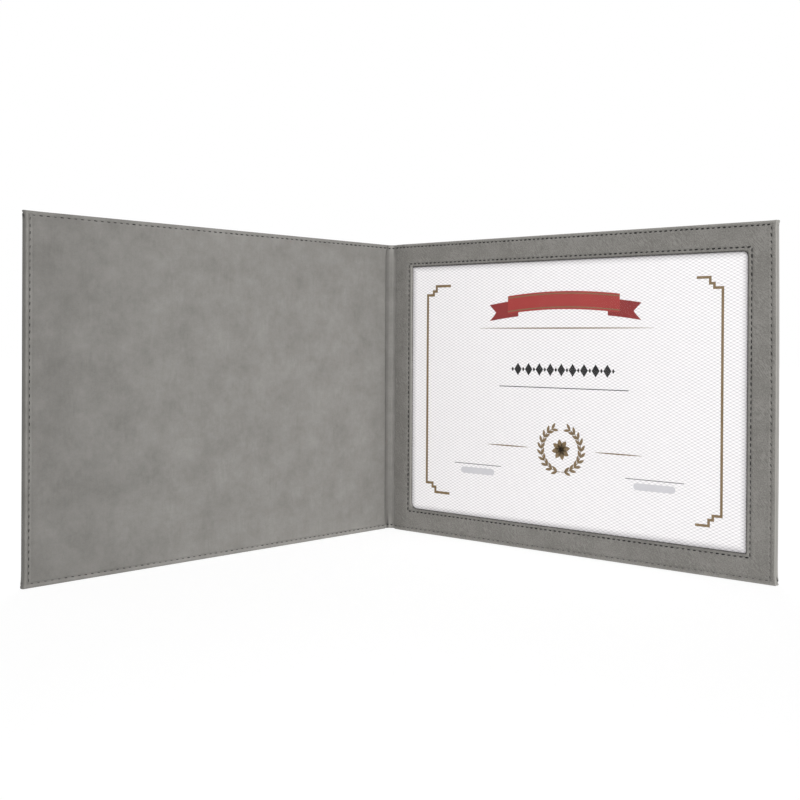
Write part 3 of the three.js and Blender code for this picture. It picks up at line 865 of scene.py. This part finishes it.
def leaf(foot, lean, long, wide):
    """A laurel leaf: a lens about a line from its foot, its half width a sine of the way along it."""
    way = np.linspace(0.01, 0.99, 9)
    half = wide * np.sin(np.pi * way) ** 0.8
    run = np.array([math.cos(lean), math.sin(lean)])
    left = np.array([-run[1], run[0]])
    spine = np.array(foot) + long * way[:, None] * run
    return np.stack([spine - half[:, None] * left, spine + half[:, None] * left], 1)


WREATH_RADIUS, WREATH_PAIRS = 16, 10
SPRAY_ENDS, STEM_ENDS, STEM_WIDTH = (-80, 62), (-88, 66), 0.5
LEAF_LEAN, LEAF_LONG, LEAF_WIDE = 0.55, 5.6, 1.05
PETALS, PETAL_TURN, PETAL_LONG, PETAL_WIDE = 8, 0.2, 7.5, 1.9


def wreath(middle, radius, count):
    """Two laurel sprays that part at the foot and curve up to either side, in pairs of leaves."""
    shapes = []
    for sign in (-1, 1):
        for turn in np.linspace(*SPRAY_ENDS, count):
            angle = math.radians(turn)
            foot = np.array(middle) + radius * np.array([sign * math.cos(angle), math.sin(angle)])
            ahead = math.atan2(math.cos(angle), -sign * math.sin(angle))
            for lean in (-LEAF_LEAN, LEAF_LEAN):
                shapes.append(leaf(foot, ahead + lean, LEAF_LONG, LEAF_WIDE))
        arc = np.radians(np.linspace(*STEM_ENDS, 40))
        stem = np.array(middle) + radius * np.stack([sign * np.cos(arc), np.sin(arc)], -1)
        shapes.append(stroke(stem, STEM_WIDTH))
    return shapes


printed("certificate_wreath", wreath((0, WREATH_LEVEL), WREATH_RADIUS, WREATH_PAIRS), gold_ink)
petal_turns = np.arange(PETALS) * 2 * math.pi / PETALS + PETAL_TURN
petals = [leaf((0, WREATH_LEVEL), turn, PETAL_LONG, PETAL_WIDE) for turn in petal_turns]
printed("certificate_rosette", petals, gold_ink)


# Clear sheet
# A film of clear plastic behind the window keeps the certificate clean.
# It is held under the frame's rails on all sides, lies just clear of the card and greys along the rails as
# their painted shadow on the card.

WINDOW_LOW = (19.65, 18.0)
WINDOW_HIGH = (286.2, 209.9)
# The film's painted shadow of the rails: its grey, its reach from them and its power.
RAIL_SHADOW_GREY = linear(206, 205, 206)
RAIL_SHADOW_REACH, RAIL_SHADOW_POWER = 0.0048, 1.5
FILM_ROUGHNESS, FILM_SMEARS = 0.02, 40.0


def film_finish():
    """Clear film: light passes through it, and it greys towards the rails as a painted shadow of the rails.

    The painted shadow is the share of its reach that is left to the nearest rail, raised to a power. Light
    that falls on the card passes straight through, so that the card is lit as if it lay bare.
    """
    finish, tree, shader = new_finish("clear_film")
    place = add(tree, "TexCoord").outputs["Object"]
    middle = (np.array(WINDOW_LOW) + WINDOW_HIGH) / 2 + (crease_places["back_crease"][0], 0)
    reach = (np.array(WINDOW_HIGH) - WINDOW_LOW) / 2
    centre = (middle[0] / 1000, 0.0, middle[1] / 1000)
    half = (reach[0] / 1000, 0.0, reach[1] / 1000)
    way = add(tree, "VectorMath", {0: place, 1: centre}, operation="SUBTRACT").outputs[0]
    way = add(tree, "VectorMath", {0: way}, operation="ABSOLUTE").outputs[0]
    way = add(tree, "VectorMath", {0: half, 1: way}, operation="SUBTRACT").outputs[0]
    way = add(tree, "SeparateXYZ", {0: way}).outputs
    to_rail = arithmetic(tree, "MINIMUM", way[0], way[2])
    inputs = {"Value": to_rail, "From Min": RAIL_SHADOW_REACH, "From Max": 0.0}
    rail_shadow = arithmetic(tree, "POWER", add(tree, "MapRange", inputs).outputs[0], RAIL_SHADOW_POWER)
    join(tree, mixed(tree, rail_shadow, (1.0, 1.0, 1.0, 1.0), RAIL_SHADOW_GREY), shader.inputs["Base Color"])
    shader.inputs["Transmission Weight"].default_value = 1.0
    shader.inputs["IOR"].default_value = 1.1
    marks = spread(tree, noise(tree, place, FILM_SMEARS, 4.0), 0.2, 0.9)
    join(tree, arithmetic(tree, "MULTIPLY", marks, FILM_ROUGHNESS), shader.inputs["Roughness"])
    bare = add(tree, "BsdfTransparent").outputs[0]
    path = add(tree, "LightPath").outputs
    lighting = arithmetic(tree, "MAXIMUM", path["Is Shadow Ray"], path["Is Diffuse Ray"])
    mix = add(tree, "MixShader", {0: lighting, 1: shader.outputs[0], 2: bare})
    join(tree, mix.outputs[0], tree.nodes["Material Output"].inputs["Surface"])
    return finish


dress("window_sheet", film_finish())


# Window frame
# A second leatherette with a fine slanting grain is cut out as a frame and sewn down on three sides.
# Its edge is turned under and sewn round the window, and left free at the spine as the pocket's mouth.

FRAME_FACE = 4.9
FRAME_THICKNESS = 0.5
FRAME_FOOT = 3.3
FILM_FACE = 4.0
FRAME_SPINE_EDGE, FREE_EDGE_DROP = 2.6, 0.02
WINDOW_ROUNDS = ((5.0, 1.2), (1.5, 3.5))
WINDOW_SEAM_LOW = (3.55, 2.5)
WINDOW_SEAM_HIGH = (2.5, 2.55)
LIP_ROUND = 0.7
WINDOW_BEAD = (0.6, 0.9, 0.8)
MOUTH_DROOP, DROOP_REACH = 0.7, 9.0
ROUNDING_REACH = 3.3
SEWING_PULL = (0.6, 1.0)
PULL_REACH = 8.0
GRAIN_SLANT = math.radians(38)
# The frame's two greys, then the colour towards which its painted highlights lighten it.
FRAME_PALE = (135, 133, 129)
FRAME_DARK = (113, 111, 107)
FRAME_LIGHT_AND_WEAR = (170, 168, 163)

grain_strokes = (GRAIN_SLANT, 0.0006, 0.004, 6.5)
grained = suede_finish("grained_leatherette", FRAME_DARK, FRAME_PALE, FRAME_LIGHT_AND_WEAR, grain_strokes, 2.8, 4.5)
window_low = np.array(WINDOW_LOW) + (CREASE_ALONG, 0)
window_high = np.array(WINDOW_HIGH) + (CREASE_ALONG, 0)
seam_low, seam_high = window_low - WINDOW_SEAM_LOW, window_high + WINDOW_SEAM_HIGH


def frame_depth(side, along, height):
    """The frame's face before its rims are rolled: seams, a bead round the window, a drooping free edge."""
    bead = mark(to_box(along, height, window_low, window_high), WINDOW_BEAD)
    droop = MOUTH_DROOP * (1 - smooth((along - CREASE_ALONG - FRAME_SPINE_EDGE) / DROOP_REACH))
    window_seam = to_box(along, height, seam_low, seam_high)
    return FRAME_FACE + sewn(cover_seam(along, height)) + sewn(window_seam) + bead - droop


def sewing_pull(along, height):
    """How far the sewing has pulled the frame: up and away from the spine at the window's lower corner there.

    The pull dies away evenly along both edges that meet there, and as a bell curve away from the window.
    """
    way = (np.stack([along, height], -1) - window_low) / (window_high - window_low)
    away = np.maximum(to_box(along, height, window_low, window_high), 0)
    share = np.prod(np.clip(1 - way, 0, 1), axis=-1) * bell(away, 0, PULL_REACH)
    return share[..., None] * np.array(SEWING_PULL)


def pulled_depth(side, along, height):
    """The frame's face at a place that the sewing has pulled there."""
    pull = sewing_pull(along, height)
    return frame_depth(side, along - pull[..., 0], height - pull[..., 1])


def window_rounding(along, height):
    """Moves points near the window's corners so that its outline is round there.

    A point that is a run along the outline from the corner goes to the arc at an angle of 45 degrees
    times 1 less the run over the radius. The move dies away within ROUNDING_REACH of the window.
    """
    moved = np.zeros(along.shape + (2,))
    away = np.maximum(to_box(along, height, window_low, window_high), 0)
    fade = np.maximum(1 - away / ROUNDING_REACH, 0) ** 2
    for right in (0, 1):
        for up in (0, 1):
            radius = WINDOW_ROUNDS[right][up]
            corner = np.array([(window_low, window_high)[right][0], (window_low, window_high)[up][1]])
            sign = np.array([1 - 2 * right, 1 - 2 * up])
            inside = np.clip((np.stack([along, height], -1) - corner) * sign, 0, radius)
            run = inside.max(-1)
            angle = math.pi / 4 * (1 - run / radius)
            short, tall = radius * (1 - np.sin(angle)), radius * (1 - np.cos(angle))
            level = inside[..., 0] >= inside[..., 1]
            target = np.where(level[..., None], np.stack([short, tall], -1), np.stack([tall, short], -1))
            here = np.where(level[..., None], np.stack([run, 0 * run], -1), np.stack([0 * run, run], -1))
            moved += (target - here) * sign * (fade * (run < radius))[..., None]
    return moved


# Marks on the frame: strength, middle and width. All are painted: highlights on the rims and the bead, shade
# at the window's lip and by the pocket's mouth.
FORE_RIM_HIGHLIGHT, SIDE_RIM_HIGHLIGHT = (0.8, 0.0, 0.5), (0.3, 0.6, 0.7)
LIT_BY_SPINE, LIT_BELOW = (0.5, 1.0, 1.0), (0.16, 1.6, 0.8)
LIP_SHADE, LIP_SHADE_WIDE, FORE_LIP_SHADE = (0.7, 0.0, 0.55), (0.06, 0.0, 2.0), (0.22, 0.5, 0.75)
MOUTH_SHADE, MOUTH_SHADE_END, MOUTH_SHADE_FADE = 0.12, 12.0, 4.0
BLUR = 0.6
LIT_START, LIT_FADE = 1.0, 5.0


def frame_light_and_wear(along, height, to_side, to_fore, to_window):
    """Where the frame has painted highlights on its rims and bead, above 0, and painted shade at the window's
    lip and by the pocket's mouth, below 0.

    Each mark is a bell across a rim or the lip. By the spine, by the fore edge and below the window they
    differ; each of these parts has soft bounds, BLUR wide.
    """
    by_spine = smooth((window_low[0] - along + BLUR / 2) / BLUR)
    by_fore = smooth((along - window_high[0] + BLUR / 2) / BLUR)
    below = smooth((window_low[1] - height + BLUR / 2) / BLUR)
    above = smooth((height - window_low[1] + LIT_START) / LIT_FADE)
    # Painted highlights on the rims, on the bead by the spine and below the window.
    light_and_wear = mark(to_fore, FORE_RIM_HIGHLIGHT) + mark(to_side, SIDE_RIM_HIGHLIGHT)
    lit = by_spine * above * mark(to_window, LIT_BY_SPINE) + below * mark(to_window, LIT_BELOW)
    # Painted shade along the window's lip, except by the spine, with more of it on the fore side.
    pressed = (1 - by_spine) * (mark(to_window, LIP_SHADE) + mark(to_window, LIP_SHADE_WIDE))
    pressed = pressed + by_fore * mark(to_window, FORE_LIP_SHADE, 4)
    # Painted shade on the frame by the pocket's mouth.
    shade = MOUTH_SHADE * (1 - smooth((along - CREASE_ALONG - MOUTH_SHADE_END) / MOUTH_SHADE_FADE))
    return light_and_wear + lit - pressed - shade


def window_frame():
    """The frame, as a grid of lines that are close together at both rims and both seams, less the window."""
    rim = np.array(RIM_LINES)
    edge = np.array([0, 0, 0.05, 0.16, 0.32, 0.55, 0.85, 1.2, 1.6, 1.95, 2.25, 2.6, 2.95, 3.25, 3.7, 4.4, 6])
    low = np.array([CREASE_ALONG + FRAME_SPINE_EDGE, LINING_INSET])
    high = np.array([FORE_ALONG - LINING_INSET, COVER_HEIGHT - LINING_INSET])
    spine_rim = np.array([0, 0, 0.05, 0.16, 0.32, 0.6, 1.2, 2.0, 3.2, 5.0, 7.5])
    corner = np.array([0.4, 0.8, 1.3, 1.9, 2.6, 3.4, 4.2, 5])
    middle_start, middle_count = 8, 34
    lines, first, last = [], [], []
    for axis, low_rim in ((0, spine_rim), (1, rim)):
        inner = (window_high - window_low)[axis]
        middle = np.linspace(middle_start, inner - middle_start, middle_count)
        across = np.concatenate([corner, middle, inner - corner[::-1]])
        lines.append(np.concatenate([low[axis] + low_rim, window_low[axis] - edge[::-1],
                                     window_low[axis] + across, window_high[axis] + edge,
                                     high[axis] - rim[::-1]]))
        first.append(len(low_rim) + len(edge) - 1)
        last.append(first[axis] + len(across) + 1)
    along, height = np.meshgrid(*lines, indexing="ij")
    row, column = np.indices(along.shape)
    within = (row >= first[0]) & (row <= last[0]) & (column >= first[1]) & (column <= last[1])
    on_line = np.isin(row, (first[0], last[0])) | np.isin(column, (first[1], last[1]))
    to_side = np.minimum(height - low[1], high[1] - height)
    to_end = np.minimum(high[0] - along, along - low[0])
    move_along, move_height, drop = rolled_rim(to_end, to_side, RIM_ROUND)
    to_window = to_box(along, height, window_low, window_high)
    lip = np.maximum(LIP_ROUND - np.maximum(to_window, 0), 0)
    drop = drop + LIP_ROUND - np.sqrt(LIP_ROUND ** 2 - lip ** 2)
    depth = frame_depth(BACK, along, height) - drop
    depth = np.where(within & on_line, FILM_FACE, depth)
    depth[0] = depth[1] - FREE_EDGE_DROP
    depth[-1] = depth[:, 0] = depth[:, -1] = FRAME_FOOT
    shift = window_rounding(along, height) + sewing_pull(along, height)
    along_moved = along + shift[..., 0] + np.where(along < along.mean(), move_along, -move_along)
    height_moved = height + shift[..., 1] + np.where(height < height.mean(), move_height, -move_height)
    corners_within = within[:-1, :-1] & within[1:, :-1] & within[1:, 1:] & within[:-1, 1:]
    faces = quads(*along.shape, ~corners_within)
    marks = frame_light_and_wear(along, height, to_side, high[0] - along, to_window)
    points = folded(BACK, along_moved, depth, height_moved)
    flat = np.stack([along, height], -1)
    piece = sheet_piece("window_frame_leather", points, faces, flat, marks, FRAME_THICKNESS, grained)
    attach(piece, "back_cover")
    return piece


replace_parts(window_frame(), "window_frame")


# Seams
# Near-black twisted polyester thread, sewn by machine with a lock stitch of about four millimetres.
# One thread shows inside and the other outside; each stitch dips into its needle holes, a little aslant.

STITCH_ARCH = 0.25
STITCH_TAPER, STITCH_SINK, STITCH_FLAT = 0.8, 0.5, 0.85
STITCH_RINGS, STITCH_SIDES = 7, 6
UNEVEN_SLANT, UNEVEN_SIZE = 0.07, (0.82, 1.12)
# The pale is a painted highlight on the crests of the plies, the dark the thread's own colour.
THREAD_CREST_LIGHT = (42, 41, 40)
THREAD_DARK = (12, 12, 12)
THREAD_TWIST, THREAD_FIBRES = 9000.0, 6000.0


def thread_finish():
    """Twisted thread: slanting plies along its own length with a painted highlight on their crests, and stray
    fibres.
    """
    finish, tree, shader = new_finish("twisted_thread")
    way = add(tree, "SeparateXYZ", {0: add(tree, "UVMap", uv_map="flat").outputs[0]}).outputs
    lay = arithmetic(tree, "ADD", arithmetic(tree, "MULTIPLY", way[0], THREAD_TWIST), way[1])
    ply = add(tree, "Math", {0: lay}, operation="SINE").outputs[0]
    crest = spread(tree, ply, -1.0, 1.0)
    fibre = noise(tree, add(tree, "TexCoord").outputs["Object"], THREAD_FIBRES)
    tone = arithmetic(tree, "MULTIPLY", crest, fibre)
    join(tree, mixed(tree, tone, linear(*THREAD_DARK), linear(*THREAD_CREST_LIGHT)), shader.inputs["Base Color"])
    shader.inputs["Roughness"].default_value = 0.7
    shader.inputs["Specular IOR Level"].default_value = 0.3
    bumped(tree, shader, crest, 0.00005)
    return finish


thread = thread_finish()


def stitches(name, side, runs, depth_at, outward, body, *nodes):
    """A row of stitches along straight runs.

    Each run is given by its ends, stitch length, slant, thread radius at either end and the share of a stitch
    that shows. No two stitches are quite alike: their radius and slant vary a little.
    A stitch is a tube that arches over the leatherette from one needle hole to the next: its rise is
    1 less the square of the way from its middle, and its radius shrinks towards both holes. A thread that
    is drawn tight is thinner and sinks deeper.
    """
    uneven = np.random.default_rng(5)
    starts, ways, lengths, slants, sizes = [], [], [], [], []
    for first, last, pitch, slant, size, shown in runs:
        first, last = np.array(first, float), np.array(last, float)
        count = max(1, round(np.linalg.norm(last - first) / pitch))
        share = (np.arange(count) + 0.5) / count
        starts.append(first + share[:, None] * (last - first))
        ways.append(np.broadcast_to((last - first) / np.linalg.norm(last - first), (count, 2)))
        lengths.append(np.full(count, shown * np.linalg.norm(last - first) / count))
        slants.append(slant + uneven.normal(0, UNEVEN_SLANT, count))
        sizes.append(np.linspace(*size, count) * uneven.uniform(*UNEVEN_SIZE, count))
    middle, way, length = np.concatenate(starts), np.concatenate(ways), np.concatenate(lengths)
    lean, thick = (np.concatenate(values)[:, None, None] for values in (slants, sizes))
    left = np.stack([-way[:, 1], way[:, 0]], -1)
    from_middle = np.linspace(-1, 1, STITCH_RINGS)[None, :, None]
    ring = np.linspace(0, 2 * math.pi, STITCH_SIDES, endpoint=False)[None, None, :]
    radius = thick * np.sqrt(1 - STITCH_TAPER * from_middle ** 4)
    run = from_middle * length[:, None, None] / 2 + 0 * ring
    aside = lean * from_middle + radius * np.cos(ring) + 0 * run
    rise = STITCH_ARCH * (1 - from_middle ** 2) - STITCH_SINK + thick
    rise = rise + STITCH_FLAT * radius * np.sin(ring) + 0 * run
    way, left = way[:, None, None], left[:, None, None]
    place = middle[:, None, None] + run[..., None] * way + aside[..., None] * left
    surface = depth_at(side, middle[:, 0], middle[:, 1])[:, None, None]
    points = folded(side, place[..., 0], surface + outward * rise, place[..., 1])
    number = np.arange(points[..., 0].size).reshape(points.shape[:3])
    turned = np.roll(number, -1, axis=2)
    tube = np.stack([number[:, :-1], number[:, 1:], turned[:, 1:], turned[:, :-1]], -1).reshape(-1, 4)
    caps = np.concatenate([number[:, 0, ::-1], number[:, -1]])
    mesh = bpy.data.meshes.new(name)
    mesh.from_pydata(points.reshape(-1, 3), [], tube.tolist() + caps.tolist())
    numbers = np.zeros(len(mesh.loops), np.int32)
    mesh.loops.foreach_get("vertex_index", numbers)
    flat = np.stack([run / 1000, ring + 0 * run], -1).reshape(-1, 2)[numbers]
    mesh.uv_layers.new(name="flat").uv.foreach_set("vector", flat.ravel().astype(np.float32))
    work = bmesh.new()
    work.from_mesh(mesh)
    bmesh.ops.recalc_face_normals(work, faces=work.faces)
    work.to_mesh(mesh)
    work.free()
    mesh.shade_smooth()
    mesh.materials.append(thread)
    piece = bpy.data.objects.new(name, mesh)
    bpy.context.scene.collection.objects.link(piece)
    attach(piece, body)
    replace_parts(piece, *nodes)


def outer_depth(side, along, height):
    """The bottom of the groove in the outer leatherette."""
    return np.full(np.shape(along), WRAP_FACE + OUTER_GROOVE)


CREASE_GAP = 1.8
bottom, top = SEAM_LOW, COVER_HEIGHT - SEAM_TOP
near, far = CREASE_ALONG + CREASE_GAP, FORE_ALONG - SEAM_FORE


def cover_runs(*sewing):
    """A cover's seam: along its lower edge, up its fore edge and back along its upper edge.

    The sewing of each edge is its stitch length, slant, thread radius at either end and the share that shows.
    """
    turns = [(near, bottom), (far, bottom), (far, top), (near, top)]
    return [(first, last, *sewn_so) for first, last, sewn_so in zip(turns, turns[1:], sewing)]


front_runs = cover_runs((4.46, 0.12, (0.29, 0.25), 0.58), (4.32, 0.1, (0.28, 0.28), 0.6),
                        (4.53, 0.08, (0.27, 0.38), 0.6))
back_runs = cover_runs((4.24, 0.12, (0.26, 0.22), 0.58), (4.4, 0.5, (0.23, 0.36), 0.62),
                       (3.62, 0.08, (0.45, 0.42), 0.58))
stitches("front_inner_stitches", FRONT, front_runs, lining_depth, 1, "front_cover", "front_inner_thread")
stitches("front_outer_stitches", FRONT, front_runs, outer_depth, -1, "front_cover", "front_outer_thread")
stitches("back_inner_stitches", BACK, back_runs, frame_depth, 1, "back_cover", "back_inner_thread")
stitches("back_outer_stitches", BACK, back_runs, outer_depth, -1, "back_cover", "back_outer_thread")
for end, level in (("bottom", bottom), ("top", top)):
    across = [((-ARC_START, level), (ARC_START, level), 3.0, 0.1, (0.42, 0.42), 0.58)]
    for face, depth_at, outward in (("inner", lining_depth, 1), ("outer", outer_depth, -1)):
        name = "spine_" + face + "_stitches_" + end
        stitches(name, BACK, across, depth_at, outward, "spine", "spine_" + face + "_thread_" + end)

seam_corners = [seam_low + sewing_pull(*seam_low), (seam_high[0], seam_low[1]), seam_high,
                (seam_low[0], seam_high[1])]
window_sewing = ((0.45, 0.45), 0.58), ((0.33, 0.4), 0.7), ((0.45, 0.45), 0.58), ((0.33, 0.5), 0.7)
WINDOW_STITCH, WINDOW_SLANT = 3.86, 0.06
next_corners = seam_corners[1:] + seam_corners[:1]
window_runs = [(first, last, WINDOW_STITCH, WINDOW_SLANT, *sewn_so)
               for first, last, sewn_so in zip(seam_corners, next_corners, window_sewing)]
stitches("window_stitches", BACK, window_runs, pulled_depth, 1, "back_cover", "window_thread")


# Studio
# The holder stands on a plain white floor under a soft even light, brighter from the right.
# The floor and the room are white to the camera, and the floor keeps the holder's soft shadow.

FLOOR_REACH = 6.0
FLOOR_WHITE = (0.9, 0.9, 0.9, 1.0)
FLOOR_GLOW = 1.08
SHADOW_SHARE = 0.2
SHADOW_NEAR, SHADOW_FAR = 0.35, 0.9
ROOM_LIGHT = 0.38
OBJECT_MIDDLE = (0.0, 0.05, 0.11)
KEY_PLACE, KEY_SIZE, KEY_POWER = (4.2, -5.65, 3.3), 4.0, 462.0
REAR_PLACE, REAR_SIZE, REAR_POWER = (-2.2, 3.0, 2.3), 2.0, 70.0

floor_mesh = bpy.data.meshes.new("floor")
floor_corners = [(-FLOOR_REACH, -FLOOR_REACH, 0), (FLOOR_REACH, -FLOOR_REACH, 0),
                 (FLOOR_REACH, FLOOR_REACH, 0), (-FLOOR_REACH, FLOOR_REACH, 0)]
floor_mesh.from_pydata(floor_corners, [], [(0, 1, 2, 3)])
floor = bpy.data.objects.new("floor", floor_mesh)
bpy.context.scene.collection.objects.link(floor)


def white_to_eye(tree):
    """1 for rays that come from the camera, a mirror or glass, and 0 for those that carry light."""
    path = add(tree, "LightPath").outputs
    seen = arithmetic(tree, "MAXIMUM", path["Is Camera Ray"], path["Is Glossy Ray"])
    return arithmetic(tree, "MAXIMUM", seen, path["Is Transmission Ray"])


floor_finish, floor_tree, floor_shader = new_finish("floor_white")
floor_shader.inputs["Base Color"].default_value = FLOOR_WHITE
floor_shader.inputs["Roughness"].default_value = 0.9
floor_shader.inputs["Specular IOR Level"].default_value = 0.0
floor_glow = add(floor_tree, "Emission", {"Color": (1.0, 1.0, 1.0, 1.0), "Strength": FLOOR_GLOW}).outputs[0]
floor_place = add(floor_tree, "TexCoord").outputs["Object"]
floor_way = add(floor_tree, "VectorMath", {0: floor_place}, operation="LENGTH").outputs["Value"]
floor_fade = add(floor_tree, "MapRange", {"Value": floor_way, "From Min": SHADOW_NEAR, "From Max": SHADOW_FAR,
                                          "To Min": 1 - SHADOW_SHARE, "To Max": 1.0}).outputs[0]
floor_share = arithmetic(floor_tree, "MULTIPLY", white_to_eye(floor_tree), floor_fade)
floor_mix = add(floor_tree, "MixShader", {0: floor_share, 1: floor_shader.outputs[0], 2: floor_glow})
join(floor_tree, floor_mix.outputs[0], floor_tree.nodes["Material Output"].inputs["Surface"])
floor_mesh.materials.append(floor_finish)

room = bpy.data.worlds.new("room")
bpy.context.scene.world = room
room.use_nodes = True
room_tree = room.node_tree
seen_white = white_to_eye(room_tree)
strength = arithmetic(room_tree, "MULTIPLY_ADD", seen_white, 1 - ROOM_LIGHT)
strength.node.inputs[2].default_value = ROOM_LIGHT
join(room_tree, strength, room_tree.nodes["Background"].inputs["Strength"])
room_tree.nodes["Background"].inputs["Color"].default_value = (1.0, 1.0, 1.0, 1.0)


def softbox(name, place, aim, size, power):
    """A square soft light at a place, turned towards another."""
    lamp = bpy.data.lights.new(name, "AREA")
    lamp.shape = "SQUARE"
    lamp.size = size
    lamp.energy = power
    box = bpy.data.objects.new(name, lamp)
    bpy.context.scene.collection.objects.link(box)
    box.location = place
    box.rotation_euler = (Vector(aim) - Vector(place)).to_track_quat("-Z", "Y").to_euler()


softbox("key", KEY_PLACE, OBJECT_MIDDLE, KEY_SIZE, KEY_POWER)
softbox("rear", REAR_PLACE, OBJECT_MIDDLE, REAR_SIZE, REAR_POWER)


# Camera
# A level camera in front of the open holder and to the right of its spine, as in the photograph.
# Its place, focal length, shift and slight roll come from fitting both covers' edges to the picture.

PICTURE = 800
SENSOR = 36.0
FOCAL_PIXELS = 1039.07
CENTRE_COLUMN, HORIZON_ROW = 389.44, 340.5
CAMERA_PLACE = (0.38837, -0.50846, 0.15155)
CAMERA_YAW = math.radians(38.377)
CAMERA_ROLL = math.radians(0.407)

lens = bpy.data.cameras.new("camera")
lens.sensor_width = SENSOR
lens.lens = SENSOR * FOCAL_PIXELS / PICTURE
lens.shift_x = (PICTURE / 2 - CENTRE_COLUMN) / PICTURE
lens.shift_y = (HORIZON_ROW - PICTURE / 2) / PICTURE
lens.clip_start = 0.01
camera = bpy.data.objects.new("camera", lens)
bpy.context.scene.collection.objects.link(camera)
turn = Matrix.Rotation(CAMERA_YAW, 4, "Z") @ Matrix.Rotation(math.pi / 2, 4, "X")
turn = turn @ Matrix.Rotation(CAMERA_ROLL, 4, "Z")
camera.matrix_world = Matrix.Translation(CAMERA_PLACE) @ turn
bpy.context.scene.camera = camera
bpy.context.scene.view_settings.view_transform = "Standard"
